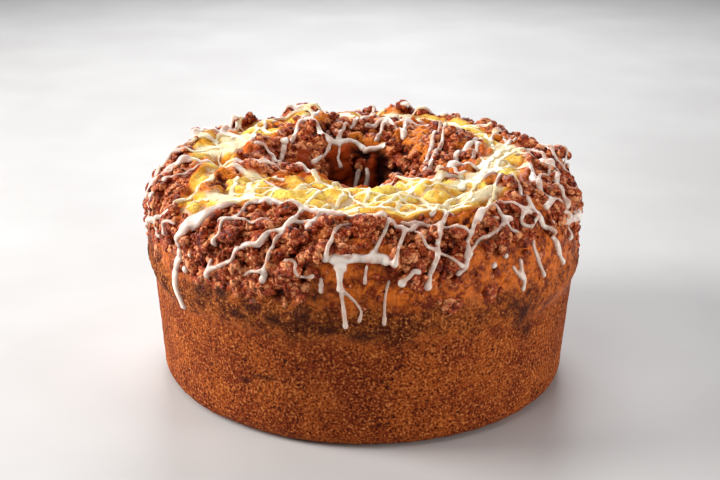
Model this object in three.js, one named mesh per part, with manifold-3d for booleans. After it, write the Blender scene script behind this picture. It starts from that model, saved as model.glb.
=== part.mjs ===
// A ring-shaped coffee cake, 250 mm across, baked in a tube pan and stood the right way up: one cake with
// a torn ring of yellow crumb along its ridge, two beds of baked-on streusel, and the larger streusel
// clumps. Millimetres, +Z up, the origin at the centre of the flat base, and the front towards -Y.
import * as THREE from "three";
import { mergeVertices } from "three/addons/utils/BufferGeometryUtils.js";
import Module from "manifold-3d";

const wasm = await Module();
wasm.setup();
const { smoothstep } = THREE.MathUtils;

// The wall that stood in the pan
const BASE_RADIUS = 117.3;
const FILLET = 9;
const RIM_RADIUS = 120.9;
const RIM_HEIGHT = 62;

// The crown that rose over the rim
const CROWN_RADIUS = 125;
const LIP_TOP = 76;
const SIDE_TOP = 100.7;
const SHOULDER_POWER = 0.85;
const RIDGE_RADIUS = 76;
const RIDGE_HEIGHT = 126.4;

// The hole that the pan's tube left
const MOUTH_RADIUS = 38;
const MOUTH_HEIGHT = 122;
const THROAT_RADIUS = 27;
const THROAT_HEIGHT = 106;
const HOLE_BASE_RADIUS = 33;

// The mesh: steps round the ring, and rows from the rim over the crown to the throat
const STEPS = 60;
const FILLET_STEPS = 2;
const ROW_SPACING = 9;
const ROWS = 18;

// Heights off the plain crown
const BED_SINK = 1.5;
const SWELL = 1.2;
const SWELL_START = 27;
const SWELL_END = 140;
const CRACK_DEPTH = 2.5;
const CRACK_BANK = 8;
const CRUMB_LUMP = 2.4;
const CRUST_LUMP = 1.2;
const STREUSEL_DEPTH = 3.2;
const STREUSEL_LUMP = 4.0;
const STREUSEL_FADE = 7;
const SKIRT_DEPTH = 12;
const GAP = 0.3;

// Clumps are flattened, and sink a little into what they lie on
const CLUMP_FLATNESS = 0.72;
const CLUMP_ROUGHNESS = 0.3;
const CLUMP_LIFT = 0.4;

// The torn ring: angle from the front in degrees, then its outer and inner edge in mm up from the rim
const TORN_RING = [
  [-180, 80, 96], [-150, 80, 98], [-135, 78, 108], [-110, 76, 110], [-90, 76, 108], [-70, 82, 100],
  [-60, 68, 104], [-50, 56, 112], [-40, 62, 118], [-20, 73, 134], [0, 78, 139], [16, 75, 136],
  [24, 73, 126], [35, 69, 118], [50, 76, 114], [70, 84, 112], [90, 86, 110], [130, 82, 102],
  [150, 80, 98], [180, 80, 96],
];

// Where the cake swells or sinks: angle from the front in degrees, place in mm up from the rim, half
// widths in degrees and in mm, and height in mm
const LOBES = [
  [-152, 122, 14, 17, 8], [-176, 116, 10, 12, 3], [158, 120, 12, 13, 3.5], [122, 122, 22, 17, 6],
  [-98, 116, 11, 9, 4], [-66, 90, 7, 12, 3.5], [80, 128, 15, 10, 3], [29, 104, 6, 9, 4],
  [52, 88, 10, 9, 3], [-42, 124, 11, 8, 2.5], [-88, 52, 32, 16, -1.5], [86, 50, 28, 16, -3.5],
  [160, 76, 26, 12, 2], [-112, 75, 8, 9, 4], [-158, 79, 6, 8, 4], [166, 79, 5, 8, 2.5],
  [179, 82, 5, 8, -2], [99, 66, 7, 8, 5.5], [50, 62, 7, 9, 3], [62, 70, 6, 8, 3], [72, 58, 8, 8, 2],
];

// How far down the crown the outer streusel reaches, at an angle from the front in degrees
const STREUSEL_EDGE = [
  [-180, 25], [-90, 25], [-62, 28], [-45, 21], [-20, 21], [-13, 25], [-8, 52], [6, 54],
  [9, 34], [23, 33], [27, 50], [40, 46], [60, 40], [80, 33], [110, 26], [180, 25],
];
const INNER_STREUSEL_END = 141;

// The larger clumps: angle from the front in degrees, place in mm up from the rim, and width in mm
const CLUMPS = [
  [-84, 47, 11], [-72, 58, 9], [-70, 38, 10], [-46, 29, 11], [-40, 44, 9], [-33, 52, 10], [-31, 37, 9],
  [-26, 27, 10], [-22, 76, 10], [-17, 38, 11], [-17, 57, 10], [-11.5, 49, 10], [-14.5, 25, 9],
  [-9.5, 67, 9], [0.5, 65, 10], [11, 37, 9], [18, 60, 9], [21, 43, 9], [21, 19, 12], [33, 63, 9],
  [34, 48, 10], [47, 68, 9], [54, 83, 10], [60, 55, 9], [62, 70, 9], [80, 60, 10], [95, 45, 9],
  [106, 77, 10], [125, 50, 9], [133, 72, 11], [158, 55, 9], [167, 77, 10], [-170, 58, 9],
  [-152, 76, 10], [-137, 50, 9], [-121, 73, 10], [-105, 50, 10], [-94, 68, 9], [90, 118, 10],
  [115, 122, 9], [140, 113, 10], [170, 110, 11], [-165, 118, 10], [-140, 119, 9], [-113, 124, 9],
  [-86, 116, 9], [-45, 124, 9], [98, 63, 11], [148, 71, 9], [-160, 80, 9], [118, 66, 8], [-136, 74, 8],
  [178, 68, 9],
];

// The colours of the baked crust and of the streusel
const CRUST_COLOUR = 0x9a5526;
const STREUSEL_COLOUR = 0x7d4127;

const crownSection = measured(crownPoints());

/** The plain crown's section as [radius, height] points, from the rim over the ridge to the throat. */
function crownPoints() {
  const points = [[RIM_RADIUS, RIM_HEIGHT]];
  const add = (count, place) => {
    for (let i = 1; i <= count; i++) points.push(place(i / count));
  };
  const blend = (from, to, share) => from + (to - from) * share;
  const quarter = Math.PI / 2;
  add(20, (t) => [
    blend(RIM_RADIUS, CROWN_RADIUS, Math.sin(t * quarter)),
    blend(RIM_HEIGHT, LIP_TOP, t),
  ]);
  add(1, () => [CROWN_RADIUS, SIDE_TOP]);
  add(80, (t) => [
    blend(RIDGE_RADIUS, CROWN_RADIUS, Math.max(0, Math.cos(t * quarter)) ** SHOULDER_POWER),
    blend(SIDE_TOP, RIDGE_HEIGHT, Math.sin(t * quarter) ** SHOULDER_POWER),
  ]);
  add(30, (t) => [blend(RIDGE_RADIUS, MOUTH_RADIUS, t), blend(RIDGE_HEIGHT, MOUTH_HEIGHT, t * t)]);
  add(30, (t) => [
    blend(MOUTH_RADIUS, THROAT_RADIUS, Math.sin(t * quarter)),
    blend(MOUTH_HEIGHT, THROAT_HEIGHT, 1 - Math.cos(t * quarter)),
  ]);
  return points;
}

/** The section with its length, so that a place on it can be given in mm from its start. */
function measured(points) {
  const lengths = [0];
  for (let i = 1; i < points.length; i++) {
    const step = Math.hypot(points[i][0] - points[i - 1][0], points[i][1] - points[i - 1][1]);
    lengths.push(lengths[i - 1] + step);
  }
  return { points, lengths, end: lengths[lengths.length - 1] };
}

/** The point [radius, height] on the plain crown at place s. */
function onSection(s) {
  const { points, lengths, end } = crownSection;
  const place = Math.min(Math.max(s, 0), end);
  let i = 1;
  while (lengths[i] < place && i < points.length - 1) i++;
  const share = (place - lengths[i - 1]) / (lengths[i] - lengths[i - 1]);
  return [0, 1].map((k) => points[i - 1][k] + (points[i][k] - points[i - 1][k]) * share);
}

/** The outward normal of the plain crown's section at place s, from two points a little apart. */
function sectionNormal(s) {
  const reach = 1;
  const middle = THREE.MathUtils.clamp(s, reach, crownSection.end - reach);
  const [r0, z0] = onSection(middle - reach);
  const [r1, z1] = onSection(middle + reach);
  const length = Math.hypot(r1 - r0, z1 - z0);
  return [(z1 - z0) / length, (r0 - r1) / length];
}

/** The point [radius, height] that stands lift mm off the plain crown at place s. */
function lifted(s, lift) {
  const [r, z] = onSection(s);
  const [nr, nz] = sectionNormal(s);
  return [r + nr * lift, z + nz * lift];
}

/** A point of the ring in space: the angle counts from the front towards +X. */
function round([radius, height], angle) {
  return new THREE.Vector3(radius * Math.sin(angle), -radius * Math.cos(angle), height);
}

/** The value in a table of [degrees, value, ...] rows at an angle, straight between the rows. */
function tableAt(table, angle, column) {
  const degrees = THREE.MathUtils.euclideanModulo(THREE.MathUtils.radToDeg(angle) + 180, 360) - 180;
  let i = 1;
  while (table[i][0] < degrees && i < table.length - 1) i++;
  const [a, b] = [table[i - 1], table[i]];
  return THREE.MathUtils.mapLinear(degrees, a[0], b[0], a[column], b[column]);
}

/** An even but unordered value from -0.5 to 0.5 for a place, the same on each run. */
function uneven(angle, s, salt) {
  const wave = Math.sin(Math.sin(angle) * 61.7 + Math.cos(angle) * 43.3 + s * 7.13 + salt) * 43758.5;
  return wave - Math.floor(wave) - 0.5;
}

/** How far the cake swells or sinks at a place, in mm. */
function lobes(angle, s) {
  const degrees = THREE.MathUtils.radToDeg(angle);
  return LOBES.reduce((total, [middle, place, halfTurn, halfLength, height]) => {
    const turn = THREE.MathUtils.euclideanModulo(degrees - middle + 180, 360) - 180;
    const away = (turn / halfTurn) ** 2 + ((s - place) / halfLength) ** 2;
    return total + height * Math.exp(-(away ** 2));
  }, 0);
}

/** The cake's own surface, in mm off the plain crown. */
function cakeLift(angle, s) {
  const lobe = lobes(angle, s);
  const into = Math.min(s - tableAt(TORN_RING, angle, 1), tableAt(TORN_RING, angle, 2) - s);
  if (into > 0) {
    return lobe - CRACK_DEPTH * Math.min(1, into / CRACK_BANK) + CRUMB_LUMP * uneven(angle, s, 1);
  }
  const share = Math.min(smoothstep(s, 0, SWELL_START), 1 - smoothstep(s, SWELL_END, crownSection.end));
  const swell = SWELL * Math.sin(3 * angle + 0.6) * Math.sin(5 * angle + s / 20);
  return lobe + share * (swell - BED_SINK + CRUST_LUMP * uneven(angle, s, 2));
}

/** The streusel's thickness where its bed lies between two edges; below zero outside them. */
function streuselDepth(angle, s, low, high) {
  const inside = Math.min(s - low, high - s);
  const fade = THREE.MathUtils.clamp(inside / STREUSEL_FADE, -1, 1);
  return fade * (STREUSEL_DEPTH + STREUSEL_LUMP * uneven(angle, s, 3));
}

/** The outer bed's depth: from its ragged lower edge up to the torn ring. */
function outerDepth(angle, s) {
  return streuselDepth(angle, s, tableAt(STREUSEL_EDGE, angle, 1), tableAt(TORN_RING, angle, 1));
}

/** The inner bed's depth: from the torn ring to the hole's mouth. */
function innerDepth(angle, s) {
  return streuselDepth(angle, s, tableAt(TORN_RING, angle, 2), INNER_STREUSEL_END);
}

/** The height of all that lies on the crown: bare cake, or streusel over it. */
function groundLift(angle, s) {
  const depth = Math.max(outerDepth(angle, s), innerDepth(angle, s), 0);
  return cakeLift(angle, s) + GAP + depth;
}

/** A closed ring from rows of points, each row a section point for an angle. Odd rows are half a step on. */
function ring(rows) {
  const positions = [];
  const index = [];
  const at = (row, step) => (row % rows.length) * STEPS + (step % STEPS);
  for (const { shift, point } of rows) {
    for (let i = 0; i < STEPS; i++) {
      const angle = (2 * Math.PI * (i + shift)) / STEPS;
      positions.push(...round(point(angle), angle));
    }
  }
  rows.forEach((row, j) => {
    const leansOn = row.shift <= rows[(j + 1) % rows.length].shift;
    for (let i = 0; i < STEPS; i++) {
      const [a, b, c, d] = [at(j, i), at(j, i + 1), at(j + 1, i), at(j + 1, i + 1)];
      index.push(...(leansOn ? [a, b, c, b, d, c] : [a, d, c, a, b, d]));
    }
  });
  const geometry = new THREE.BufferGeometry();
  geometry.setAttribute("position", new THREE.Float32BufferAttribute(positions, 3));
  geometry.setIndex(index);
  return geometry;
}

/** The row of the crown's mesh with a number, at the height that lift gives. */
function crownRow(number, lift) {
  const s = number * ROW_SPACING;
  return { shift: (number % 2) / 2, point: (angle) => lifted(s, lift(angle, s)) };
}

/** A row at a fixed radius and height. */
function plainRow(radius, height, number) {
  return { shift: (number % 2) / 2, point: () => [radius, height] };
}

/** The ring of the cake with its crown at the height that lift gives. */
function cakeRing(lift) {
  const rows = [plainRow(HOLE_BASE_RADIUS, 0, 1)];
  for (let i = 0; i <= FILLET_STEPS; i++) {
    const turn = (Math.PI / 2) * (i / FILLET_STEPS);
    const radius = BASE_RADIUS - FILLET * (1 - Math.sin(turn));
    rows.push(plainRow(radius, FILLET * (1 - Math.cos(turn)), i));
  }
  for (let number = 0; number <= ROWS; number++) rows.push(crownRow(number, lift));
  return ring(rows);
}

/** A bed's ring: its lumpy top over the rows that it can reach, closed by a skirt inside the cake. */
function bedRing(depth, first, last) {
  const numbers = Array.from({ length: last - first + 1 }, (_, i) => first + i);
  const top = (angle, s) => cakeLift(angle, s) + GAP + depth(angle, s);
  const skirt = (angle, s) => cakeLift(angle, s) - SKIRT_DEPTH;
  return ring([
    ...numbers.map((number) => crownRow(number, top)),
    ...numbers.reverse().map((number) => crownRow(number, skirt)),
  ]);
}

/** The geometry with its positions alone, and shared vertices merged. */
function merged(geometry) {
  geometry.deleteAttribute("normal");
  geometry.deleteAttribute("uv");
  return mergeVertices(geometry, 1e-4);
}

/** A merged geometry as a solid that can be cut. */
function solidOf(geometry) {
  return new wasm.Manifold(
    new wasm.Mesh({
      numProp: 3,
      vertProperties: new Float32Array(geometry.attributes.position.array),
      triVerts: new Uint32Array(geometry.index.array),
    }),
  );
}

/** A solid's largest body as a geometry. */
function geometryOf(solid) {
  const largest = solid.decompose().reduce((a, b) => (b.volume() > a.volume() ? b : a));
  const { vertProperties, triVerts } = largest.getMesh();
  const geometry = new THREE.BufferGeometry();
  geometry.setAttribute("position", new THREE.Float32BufferAttribute(vertProperties, 3));
  geometry.setIndex(new THREE.BufferAttribute(triVerts, 1));
  return geometry;
}

/** A named mesh of one material. */
function piece(name, geometry, color, roughness) {
  geometry.computeVertexNormals();
  const material = new THREE.MeshStandardMaterial({ color, roughness, metalness: 0 });
  const mesh = new THREE.Mesh(geometry, material);
  mesh.name = name;
  return mesh;
}

/** One streusel bed: its ring less the cake, so that the largest unbroken stretch is left. */
function bed(name, depth, first, last) {
  const clearance = solidOf(cakeRing((angle, s) => cakeLift(angle, s) + GAP));
  const solid = solidOf(bedRing(depth, first, last)).subtract(clearance);
  return piece(name, geometryOf(solid), STREUSEL_COLOUR, 0.9);
}

/** A rough, flattened lump about its own centre, with +Z away from the cake. */
function lump(width, salt) {
  const geometry = merged(new THREE.DodecahedronGeometry(width / 2));
  const position = geometry.attributes.position;
  const point = new THREE.Vector3();
  for (let i = 0; i < position.count; i++) {
    point.fromBufferAttribute(position, i);
    point.multiplyScalar(1 + CLUMP_ROUGHNESS * uneven(i, i * i, salt));
    position.setXYZ(i, point.x, point.y, point.z * CLUMP_FLATNESS);
  }
  return geometry;
}

/** One clump, cut to lie on the ground below it. */
function clump([degrees, s, width], number, ground) {
  const angle = THREE.MathUtils.degToRad(degrees);
  const [nr, nz] = sectionNormal(s);
  const mesh = new THREE.Object3D();
  mesh.position.copy(round(lifted(s, groundLift(angle, s) + CLUMP_LIFT), angle));
  mesh.quaternion.setFromUnitVectors(new THREE.Vector3(0, 0, 1), round([nr, nz], angle));
  mesh.updateMatrix();
  const uncut = solidOf(lump(width, number).applyMatrix4(mesh.matrix));
  const geometry = geometryOf(uncut.subtract(ground)).applyMatrix4(mesh.matrix.clone().invert());
  const name = `streusel_clump_${String(number).padStart(2, "0")}`;
  const made = piece(name, geometry, STREUSEL_COLOUR, 0.9);
  made.position.copy(mesh.position);
  made.quaternion.copy(mesh.quaternion);
  return made;
}

const coffeeCake = new THREE.Group();
coffeeCake.add(piece("cake", cakeRing(cakeLift), CRUST_COLOUR, 0.75));
coffeeCake.add(bed("streusel_outer", outerDepth, 1, 11));
coffeeCake.add(bed("streusel_inner", innerDepth, 10, 17));
const ground = solidOf(cakeRing((angle, s) => groundLift(angle, s) + GAP));
CLUMPS.forEach((row, i) => coffeeCake.add(clump(row, i + 1, ground)));

export default coffeeCake;
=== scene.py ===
"""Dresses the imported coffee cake: baked crust, torn yellow crumb, streusel and an icing drizzle.

A spot on the cake is given in degrees round from the front, positive to the right, and by its place:
mm along the cake's section from the rim, up over the crown and into the hole. Places below 0 lie
down the wall.
"""

import math
from types import SimpleNamespace

import bmesh
import bpy
import numpy as np
from mathutils import Matrix, Vector
from mathutils.bvhtree import BVHTree
from mathutils.kdtree import KDTree


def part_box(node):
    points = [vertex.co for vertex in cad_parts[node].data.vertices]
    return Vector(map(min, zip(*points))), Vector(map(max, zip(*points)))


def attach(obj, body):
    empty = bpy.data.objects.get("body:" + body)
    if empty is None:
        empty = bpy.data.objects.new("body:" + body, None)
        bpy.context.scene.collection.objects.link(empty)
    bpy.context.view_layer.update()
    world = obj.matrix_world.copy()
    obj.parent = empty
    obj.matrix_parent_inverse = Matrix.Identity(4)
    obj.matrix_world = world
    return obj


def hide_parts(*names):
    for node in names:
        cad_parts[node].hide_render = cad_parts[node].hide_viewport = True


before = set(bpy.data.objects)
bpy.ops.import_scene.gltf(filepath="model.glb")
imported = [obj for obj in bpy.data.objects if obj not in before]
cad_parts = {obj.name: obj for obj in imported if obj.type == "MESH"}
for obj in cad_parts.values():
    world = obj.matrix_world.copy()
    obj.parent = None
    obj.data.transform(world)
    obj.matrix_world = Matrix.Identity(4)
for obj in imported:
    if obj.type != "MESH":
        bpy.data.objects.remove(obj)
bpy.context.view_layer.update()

MM = 0.001

# The camera, in metres and degrees
CAMERA_DISTANCE = 0.8
CAMERA_ELEVATION = 24.75
CAMERA_TARGET = (-0.0022, 0.0, 0.0739)
CAMERA_ROLL = 0.52
CAMERA_LENS = 66.1

# The plain section of the cake in mm, as the CAD solid has it
BASE_RADIUS, FILLET = 117.3, 9.0
RIM_RADIUS, RIM_HEIGHT = 120.9, 62.0
CROWN_RADIUS, LIP_TOP, SIDE_TOP = 125.0, 76.0, 100.7
SHOULDER_POWER = 0.85
RIDGE_RADIUS, RIDGE_HEIGHT = 76.0, 126.4
MOUTH_RADIUS, MOUTH_HEIGHT = 38.0, 122.0
THROAT_RADIUS, THROAT_HEIGHT = 27.0, 106.0
HOLE_BASE_RADIUS = 33.0

# How many points the section's arcs have, how finely the crown is sampled, and how far to each side
# of a place its slope is taken, in mm
FOOT_ARC, LIP_ARC, CROWN_ARC, HOLE_ARC = 12, 20, 80, 30
PLACE_STEP = 0.5
SLOPE_REACH = 0.8

# The cake's mesh in mm: row spacings, where the wall's rows end and the crown's begin, and how many
# points go round a ring by its radius
ROW_SPACING = 1.1
WALL_ROW_SPACING = 2.2
HOLE_ROW_SPACING = 2.6
WALL_ROWS_END, CROWN_ROWS_START = -2.0, -1.6
RING_POINTS = 612
HALF_RING_RADIUS, QUARTER_RING_RADIUS = 68.0, 36.0

# The torn ring: degrees, then the places of its outer and of its inner edge
TORN_RING = [
    (-180, 80, 96), (-150, 80, 98), (-135, 78, 108), (-110, 76, 110), (-90, 76, 108), (-70, 82, 100),
    (-60, 66, 104), (-54, 54, 110), (-48, 52, 112), (-44, 60, 115), (-40, 69, 118), (-34, 75, 123),
    (-28, 79, 128), (-24, 80, 131), (-18, 76, 136), (-6, 75, 140), (3, 73, 140), (12, 71, 138),
    (24, 71, 126), (35, 70, 118), (50, 76, 114), (70, 84, 112), (90, 86, 110), (130, 82, 102),
    (150, 80, 98), (180, 80, 96),
]

# Where the crown turns down into the hole: degrees, then place
HOLE_EDGE = [
    (-180, 131), (-158, 136), (-140, 132), (-120, 121), (-60, 121), (-40, 129), (0, 140), (60, 140),
    (100, 139), (150, 138), (180, 131),
]

# Ragged ovals on the cake: degrees, place, half width in degrees and half width in mm.
# Pieces of baked crust that lie in the torn ring
ISLANDS = [
    (-54.5, 79, 4, 8), (-59.5, 93, 4.5, 8), (-88, 111, 9, 7), (-41, 106, 5.5, 6), (46, 111, 4, 4),
    (53, 90, 6, 8), (25, 67, 6, 6), (97, 107, 6, 4), (114, 87, 8, 5), (90, 88, 3, 3), (18, 133, 8, 5),
    (-118, 82, 6, 5), (-138, 92, 5, 6), (-82, 86, 5, 4), (166, 81, 6, 6), (152, 92, 5, 4), (-162, 88, 5, 4),
]

# Where glaze has pooled on the torn crumb
POOLS = [
    (58, 103, 20, 6), (84, 105, 16, 7), (99, 92, 8, 10), (-95, 92, 5, 16), (-112, 97, 9, 9), (-47, 74, 7, 5),
    (-57, 103, 7, 5), (42, 84, 8, 4), (160, 90, 20, 6), (-165, 88, 14, 5),
]

# Streusel that lies in and near the hole
HOLE_STREUSEL = [
    (-133, 129, 11, 17), (-161, 128, 9, 9), (-104, 128, 12, 9), (168, 127, 9, 6), (148, 146, 10, 9),
    (-125, 150, 12, 10), (125, 148, 14, 8), (-170, 152, 7, 6),
]

# How far down the crown the outer streusel reaches: degrees, then place. Then the place where the
# inner streusel ends
STREUSEL_EDGE = [
    (-180, 25), (-90, 25), (-62, 28), (-45, 21), (-20, 21), (-13, 25), (-8, 52), (6, 54),
    (9, 34), (23, 33), (27, 50), (40, 46), (60, 40), (80, 33), (110, 26), (180, 25),
]
INNER_STREUSEL_END = 141.0

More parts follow.
